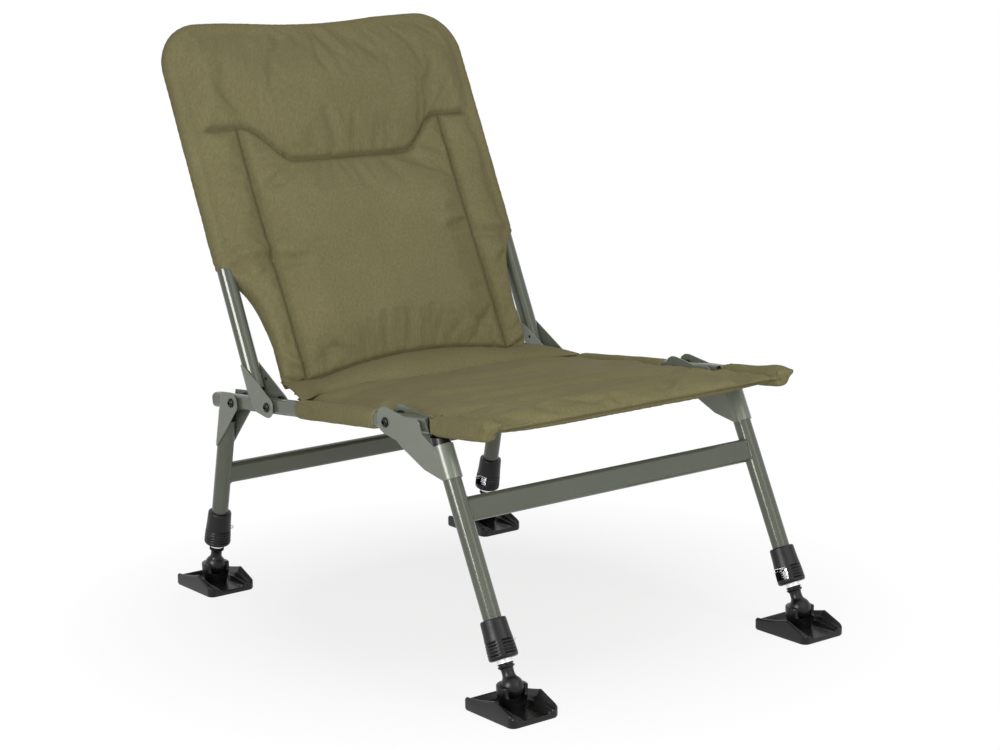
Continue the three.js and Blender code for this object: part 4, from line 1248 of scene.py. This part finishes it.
def between(table, value):
    if value <= table[0][0]:
        return table[0][1]
    for (low, first), (high, last) in zip(table, table[1:]):
        if value <= high:
            return first + (last - first) * (value - low) / (high - low)
    return table[-1][1]


def cushion_half_width(z):
    if z < POCKET_BOTTOM:
        return between(HALF_WIDTHS, z)
    above = max(0.0, z - BACK_SHOULDER)
    radius = BACK_CORNER + SLAB_REACH
    return BACK_STRAIGHT + math.sqrt(max(1.0, radius ** 2 - above ** 2))


def head_seam(x):
    return HEAD_SEAM + HEAD_SEAM_RISE * smooth(96, 172, abs(x)) - 0.01 * x


def bottom_seam(x):
    return max(30.0, BOTTOM_SEAM - 0.00065 * (x - 10) ** 2)


def pillow(distance, size):
    rise, width = size
    return rise * (1 - math.exp(-max(0.0, distance) / width))


def cushion_front(x, z):
    """How far the cushion's front stands before the tube's middle."""
    lower = 1 - smooth(CUSHION_BOTTOM, 380, z)
    valley = 14 + 9 * lower
    reach = abs(x)
    if z > head_seam(x):
        rise = pillow(z - head_seam(x), HEAD_PILLOW)
    elif z < bottom_seam(x) or (z < bottom_seam(SIDE_SEAM) + 6 and reach > SIDE_SEAM):
        rise = 0.0
    elif reach < SIDE_SEAM:
        to_seam = min(SIDE_SEAM - reach, head_seam(x) - z, (z - bottom_seam(x)) * 1.4)
        rise = pillow(to_seam, MIDDLE_PILLOW) + 4 * near(z - 95, 45) * (1 - (x / SIDE_SEAM) ** 2)
    else:
        rise = pillow(min(reach - SIDE_SEAM, head_seam(x) - z, z - 30), SIDE_PILLOW)
    top_round = smooth(0, 60, BACK_TOP + POCKET_HALF - z)
    edge = 1 - smooth(BACK_STRAIGHT + 16, RAIL_X + 6, reach)
    outer = POCKET_HALF * 0.75 if z > POCKET_BOTTOM else 9 + 8 * lower
    return outer + (valley + rise - outer) * edge * max(top_round, 0.0)


def cushion_rear(x, z):
    inside = smooth(CUSHION_BOTTOM, POCKET_BOTTOM, z)
    middle = -9 + 16 * inside
    at_tube = smooth(SIDE_SEAM + 20, RAIL_X - 4, abs(x)) * inside
    return middle + (POCKET_HALF * 0.8 - middle) * at_tube


def cushion_surface(front, across, along):
    low, high = CUSHION_BOTTOM, BACK_TOP + SLAB_REACH
    z = low + (high - low) * along
    half = cushion_half_width(z)
    x = half * math.sin(math.pi / 2 * across)
    rounding = rounded_in(min(half - abs(x), (z - low) * 2 + 2), CUSHION_EDGE)
    face, back = cushion_front(x, z), cushion_rear(x, z)
    middle = (face - back) / 2
    depth = face if front else -back
    y = middle + (depth - middle) * max(LEAST_EDGE, rounding)
    return Vector((x, BACK_Y - y, z - top_sag(x) * smooth(430, BACK_TOP, z)))


def pocket_sleeve():
    """The sleeve round the bent tube, closed at its two lower ends."""
    bm = back_tube_shape(POCKET_HALF, POCKET_BOTTOM, 24)
    bmesh.ops.holes_fill(bm, edges=open_edges(bm), sides=0)
    return bm


cushion_form = merged(padded_form(90, 110, cushion_surface), pocket_sleeve())
print("cushion form:", len(cushion_form.verts), "points")

# %% [markdown]
# The seams hold while the cloth swells, and so does the sleeve round the tube. The closer a point
# lies to a seam, the firmer it is held. A few folds are then added where the cloth is pulled: down
# from the top edge, and inwards from the ends of the sleeves.

# %% Back cushion, swollen and sewn
SEAM_HOLD = 5.0
SEAM_GROOVE = 4.2
CUSHION_VOXEL = 5.2
CUSHION_MOST = 12
CUSHION_PRESSURE = 3.0
UNEVEN = 0.5
UNEVEN_SCALE = 0.022
CUSHION_FOLDS = [
    ((0, 566), (30, 505), 7, 3.0), ((52, 556), (90, 508), 8, 2.6),
    ((-40, 560), (-24, 520), 9, 1.2), ((-262, 212), (-182, 225), 9, 4.8),
    ((-190, 226), (-125, 208), 10, 3.4), ((-236, 190), (-196, 200), 8, 2.2),
    ((128, 300), (172, 302), 4, 1.2), ((112, 230), (174, 241), 7, 3.6),
    ((180, 226), (246, 213), 8, 4.6), ((186, 164), (234, 184), 8, 2.8),
    ((110, 262), (176, 268), 9, 1.4), ((-176, 350), (-120, 330), 9, 1.0),
    ((-236, 78), (-184, 44), 6, 3.2), ((-230, 112), (-196, 78), 7, 2.4),
    ((-172, 60), (-120, 72), 9, 2.0), ((236, 72), (182, 40), 6, 3.2),
    ((226, 100), (190, 70), 7, 2.4), ((168, 58), (110, 84), 9, 2.2),
    ((-238, 50), (-190, 30), 4, 2.0), ((238, 48), (190, 28), 4, 2.0),
]


def on_front(p):
    """Whether a point lies on the cushion's front half."""
    return BACK_Y - p.y > (cushion_front(p.x, p.z) + cushion_rear(p.x, p.z)) / 2


def cushion_seams(p, width):
    """Nearness to any sewn line on the cushion's front."""
    if not on_front(p):
        return 0.0
    nearest = near(p.z - head_seam(p.x), width)
    if bottom_seam(p.x) - 4 < p.z < head_seam(p.x):
        nearest = max(nearest, near(abs(p.x) - SIDE_SEAM, width))
    if abs(p.x) < SIDE_SEAM + 12:
        nearest = max(nearest, near(p.z - bottom_seam(p.x), width))
    return nearest * (1 - smooth(RAIL_X - 28, RAIL_X - 9, abs(p.x)))


def cushion_held(p):
    hold = cushion_seams(p, SEAM_HOLD)
    if abs(p.x) > RAIL_X - 14 or p.z > BACK_TOP - top_sag(p.x) - 6:
        hold = max(hold, 0.9)
    if p.y > BACK_Y - 2:
        hold = max(hold, 0.55)
    if p.z < CUSHION_BOTTOM + 6 or abs(p.x) > cushion_half_width(p.z) - 9:
        hold = max(hold, 0.92)
    return hold


def cushion_depth(p):
    depth = SEAM_GROOVE * cushion_seams(p, 2.8)
    if on_front(p):
        from_side = cushion_half_width(p.z) - abs(p.x)
        depth += folded(CUSHION_FOLDS, p.x, p.z) * smooth(0, 14, from_side)
    hem = near(p.z - POCKET_BOTTOM - 7, 2.2) if abs(p.x) > RAIL_X - 10 else 0.0
    return depth + 0.8 * hem + UNEVEN * noise.noise(p * UNEVEN_SCALE)


cushion = remeshed(cushion_form, CUSHION_VOXEL, back_frame)
cushion = swollen(cushion, back_frame, cushion_held, CUSHION_MOST, CUSHION_PRESSURE)
cushion = pressed(subdivided(cushion), back_frame, cushion_depth)
# The last two arguments give the painted seam shade, strongest in the sewn lines and fainter beside
# them.
dressed(
    cushion, "back_pad", back_cloth, "back",
    lambda p: max(cushion_seams(p, 2.4), 0.4 * cushion_seams(p, 9)), back_frame,
)
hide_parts("back_cushion")
print("cushion:", len(cushion.data.vertices), "points")

# %% [markdown]
# The seat is a padded sheet with a sleeve along each rail, open beside the front pivots where the
# brackets swing. Its front edge is a soft roll over a sewn hem, the front sleeves are pinched shut
# at their ends, and its rear edge runs under the back cushion.

# %% Seat's form
SEAT_FRONT = -203.0
SEAT_REAR = 300.0
SEAT_CREASE = 258.0
SLEEVES = [(SEAT_FRONT, -92.0), (34.0, 224.0)]
SLEEVE_HALF = (12.2, 13.4)
NOTCH_HALF = 224.0
PINCH_FRONT = 11.0
PINCH_LENGTH = 13.0
PINCH_FLARE = 0.42
PINCH_RISE = 9.0
PINCH_FLAT = 0.84
MOUTH_SWELL = 3.0
NOSE_LENGTH = 15


def seat_half_width(reach):
    wide = RAIL_X - 6
    behind_front = smooth(SLEEVES[0][1] - 10, SLEEVES[0][1] + 6, reach)
    before_rear = 1 - smooth(SLEEVES[1][0] - 6, SLEEVES[1][0] + 12, reach)
    behind_rear = smooth(SLEEVES[1][1] - 8, SEAT_CREASE, reach)
    notch = max(min(behind_front, before_rear), behind_rear)
    return wide - (wide - NOTCH_HALF) * notch


def seat_surface(top, across, along):
    reach = SEAT_FRONT + (SEAT_REAR - SEAT_FRONT) * along
    share = math.sin(math.pi / 2 * across)
    x = seat_half_width(reach) * share
    belly = 1 - share ** 6
    nose = rounded_in(reach - SEAT_FRONT, NOSE_LENGTH)
    roll = 5.0 * near(reach - SEAT_FRONT - 34, 24)
    ramp = smooth(SEAT_CREASE - 18, SEAT_REAR, reach)
    upper = (3 + (5 + roll) * belly) * nose + 9 * ramp
    lower = -(3 + 7 * belly * (1 - smooth(60, SEAT_CREASE, reach))) * nose + 12 * ramp
    tail = min(1.0, (SEAT_REAR - reach) / 6)
    middle = (upper + lower) / 2
    height = upper if top else lower
    return Vector((x, reach, middle + (height - middle) * max(LEAST_EDGE, tail)))


def sleeve_form(sign, low, high):
    pinched = low == SEAT_FRONT
    low -= PINCH_FRONT if pinched else 0.0
    bm = rounded_bar((2 * SLEEVE_HALF[0], high - low, 2 * SLEEVE_HALF[1]), 8.5, 1, 5)
    long_edges = [e for e in bm.edges if abs(e.verts[0].co.y - e.verts[1].co.y) > (high - low) / 2]
    bmesh.ops.subdivide_edges(bm, edges=long_edges, cuts=40, use_grid_fill=True)
    for v in bm.verts:
        from_end = v.co.y + (high - low) / 2
        closed = 1 - smooth(0, PINCH_LENGTH, from_end) if pinched else 0.0
        if pinched and v.co.z > 0:
            v.co.z += MOUTH_SWELL * near(from_end - 24, 20)
        v.co.z = v.co.z * (1 - PINCH_FLAT * closed) + PINCH_RISE * closed
        v.co.x *= 1 + PINCH_FLARE * closed
    return shifted(bm, sign * RAIL_X, (low + high) / 2)


seat_form = padded_form(64, 72, seat_surface)
for sign in sides.values():
    for low, high in SLEEVES:
        seat_form = merged(seat_form, sleeve_form(sign, low, high))
print("seat form:", len(seat_form.verts), "points")

# %% [markdown]
# The hem along the front and the seams beside the sleeves hold while the seat swells. The long low
# folds run from the corners towards the middle, as they do in cloth that hangs between two rails.

# %% Seat, swollen and sewn
HEM_LEVEL = -3.5
SEAT_VOXEL = 5.0
SEAT_MOST = 8
SEAT_PRESSURE = 1.5
SEAT_FOLDS = [
    ((-170, 72), (-20, 20), 13, 3.3), ((-40, 30), (104, -16), 12, 3.0),
    ((-176, -26), (10, -36), 13, 3.6), ((-10, -34), (124, -66), 12, 3.3),
    ((100, -60), (196, -128), 10, 3.3), ((-180, -120), (-96, -100), 7, 2.7),
    ((-120, -104), (-30, -94), 10, 2.7), ((-210, -150), (-120, -138), 8, 2.4),
    ((40, -132), (200, -160), 12, 2.4), ((228, 196), (120, 232), 12, 3.6),
    ((226, 150), (60, 170), 14, 3.0), ((-226, 200), (-80, 238), 13, 3.3),
    ((-60, 150), (130, 118), 16, 3.0), ((-214, 60), (-150, 110), 10, 2.7),
    ((214, 60), (150, 40), 10, 2.7),
]


def seat_hem(p, width):
    """Nearness to the seam that closes the front roll, low on its face."""
    on_roll = p.y < SEAT_FRONT + 9 and abs(p.x) < RAIL_X - 6
    return near(p.z - HEM_LEVEL, width) if on_roll else 0.0


def sleeve_seam(p, width):
    """Nearness to the seams that close the sleeves, on the seat's top."""
    inside = any(low - 4 < p.y < high + 4 for low, high in SLEEVES)
    return near(abs(p.x) - (RAIL_X - 17), width) if inside and p.z > 0 else 0.0


def sleeve_hems(p, width):
    """Nearness to the stitched turn-ups at the open ends of the sleeves."""
    ends = (SLEEVES[0][1] - 6, SLEEVES[1][0] + 6, SLEEVES[1][1] - 6)
    return max(near(p.y - end, width) for end in ends) if abs(p.x) > RAIL_X - 16 else 0.0


def seat_held(p):
    hold = max(seat_hem(p, 4), 0.9 * sleeve_seam(p, 4))
    if abs(p.x) > RAIL_X - 15 or p.y > SEAT_CREASE:
        hold = 1.0
    if p.z < -6 or p.y < SEAT_FRONT:
        hold = max(hold, 0.6)
    return hold


def seat_depth(p):
    depth = 2.6 * seat_hem(p, 1.8) + 2.2 * sleeve_seam(p, 3) + 0.7 * sleeve_hems(p, 1.8)
    if p.z > 0 and abs(p.x) < RAIL_X - 14:
        depth += folded(SEAT_FOLDS, p.x, p.y)
    return depth + UNEVEN * noise.noise(p * UNEVEN_SCALE)


seat = remeshed(seat_form, SEAT_VOXEL, rail_frame)
seat = swollen(seat, rail_frame, seat_held, SEAT_MOST, SEAT_PRESSURE)
seat = pressed(subdivided(seat), rail_frame, seat_depth)
# The last two arguments give the painted seam shade along the front hem and the sleeve seams.
dressed(
    seat, "seat_pad", seat_cloth, "seat_frame",
    lambda p: max(seat_hem(p, 1.6), 0.8 * sleeve_seam(p, 2)), rail_frame,
)
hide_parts("seat_cloth")
print("seat:", len(seat.data.vertices), "points")

# %% [markdown]
# Between the cushion and the seat runs one strip of cloth, sewn to both, as wide as the cushion. It
# is a sheet that bulges a little and draws in at its corners. It runs from the seat's rear edge to
# the cushion's lower edge as they stand at rest, and it rides on neither body.

# %% Cloth at the hinge line
STRIP_SEAT_HALF = 247.0
STRIP_BACK_HALF = 219.0
STRIP_THICKNESS = 1.6
STRIP_BULGE = 7.0
SEAT_EDGE_BEHIND = 6
SEAT_EDGE_LEVEL = 10.5
BACK_EDGE_BEFORE = 24
BACK_EDGE_ABOVE = 1


def strip_point(across, along):
    half = STRIP_SEAT_HALF + (STRIP_BACK_HALF - STRIP_SEAT_HALF) * along
    x = half * across
    corner = smooth(0.72, 1.0, abs(across))
    seat_edge = rail_frame @ Vector((
        x, SEAT_CREASE + SEAT_EDGE_BEHIND - 40 * corner, SEAT_EDGE_LEVEL + 2 * corner,
    ))
    back_edge = back_frame @ Vector((
        x, BACK_Y - BACK_EDGE_BEFORE + 8 * corner, bottom_seam(x) + BACK_EDGE_ABOVE + 5 * corner,
    ))
    swell = math.sin(math.pi * along) * STRIP_BULGE * (1 - 0.5 * corner) * MM
    outward = (back_frame.to_3x3() @ Vector((0, -1, 0.3))).normalized()
    return seat_edge.lerp(back_edge, along) + outward * swell


strip_form = grid(110, 18)
for v in strip_form.verts:
    v.co = strip_point(v.co.x, (v.co.y + 1) / 2)
strip = temporary(strip_form, "hinge_cloth")
dressed(strip, "hinge_cloth", back_cloth)
thick = strip.modifiers.new("cloth", "SOLIDIFY")
thick.thickness = STRIP_THICKNESS * MM
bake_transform(strip)

# %% [markdown]
# The floor is pale and plain. The camera sees it almost white, and more so further out, so that it
# has no edge, while it still takes the chair's shadow. Three large soft lamps and an even world
# light the chair at a plain level. Two more show in the gloss alone, as the bright lines that a
# studio's strip lights draw down each tube: a tall narrow one in front and a broad one at the side.

# %% Floor, world and lamps
FLOOR_HALF = 6.0
FADE_REACH = (0.25, 0.62)
FADE_SHARE = (0.78, 1.0)
WORLD_LIGHT = 0.27

floor = temporary(grid(1, 1, FLOOR_HALF), "floor")
floor_paint, tree, shader = new_material(
    "pale_floor", (0.8, 0.8, 0.8, 1), Roughness=0.9, Specular_IOR_Level=0.0,
)
spot = add_node(tree, "ShaderNodeTexCoord")
distance = add_node(tree, "ShaderNodeVectorMath", {0: spot.outputs["Object"]}, operation="LENGTH")
fade = moved_range(tree, distance.outputs["Value"], FADE_REACH, FADE_SHARE)
rays = add_node(tree, "ShaderNodeLightPath").outputs
seen = combined(tree, "MAXIMUM", rays["Is Camera Ray"], rays["Is Glossy Ray"])
share = combined(tree, "MULTIPLY", seen, fade)
glow = add_node(tree, "ShaderNodeEmission", {"Color": (1, 1, 1, 1), "Strength": 1.0})
mix = add_node(tree, "ShaderNodeMixShader", {
    0: share, 1: shader.outputs["BSDF"], 2: glow.outputs["Emission"],
})
tree.links.new(mix.outputs["Shader"], tree.nodes["Material Output"].inputs["Surface"])
floor.data.materials.append(floor_paint)

world = bpy.data.worlds.new("studio")
scene.world = world
world.use_nodes = True
tree = world.node_tree
background = tree.nodes["Background"]
rays = add_node(tree, "ShaderNodeLightPath").outputs
seen = combined(tree, "MAXIMUM", rays["Is Camera Ray"], rays["Is Transmission Ray"])
seen = combined(tree, "MAXIMUM", seen, rays["Is Glossy Ray"])
strength = moved_range(tree, seen, (0.0, 1.0), (WORLD_LIGHT, 1.0))
background.inputs["Color"].default_value = (1, 1, 1, 1)
tree.links.new(strength, background.inputs["Strength"])

LAMPS = {
    "key": ((-2.1, -1.95, 1.25), (1.5, 1.5), 42, "soft"),
    "front": ((0.3, -2.4, 1.75), (0.9, 2.2), 22, "soft"),
    "shine": ((0.3, -2.4, 1.75), (0.45, 2.2), 50, "gloss"),
    "side shine": ((-2.75, -0.6, 1.3), (1.3, 1.1), 75, "gloss"),
    "top": ((0.0, 0.3, 2.6), (2.0, 2.0), 4, "soft"),
}
AIM = Vector((0, 0, 0.35))
for name, (at, size, power, kind) in LAMPS.items():
    lamp_data = bpy.data.lights.new(name, "AREA")
    lamp_data.shape = "RECTANGLE"
    lamp_data.size, lamp_data.size_y = size
    lamp_data.energy = power
    lamp = bpy.data.objects.new(name, lamp_data)
    lamp.location = at
    lamp.rotation_euler = (AIM - Vector(at)).to_track_quat("-Z", "Y").to_euler()
    lamp.visible_glossy = kind == "gloss"
    lamp.visible_diffuse = kind == "soft"
    scene.collection.objects.link(lamp)
print("lamps:", len(LAMPS))
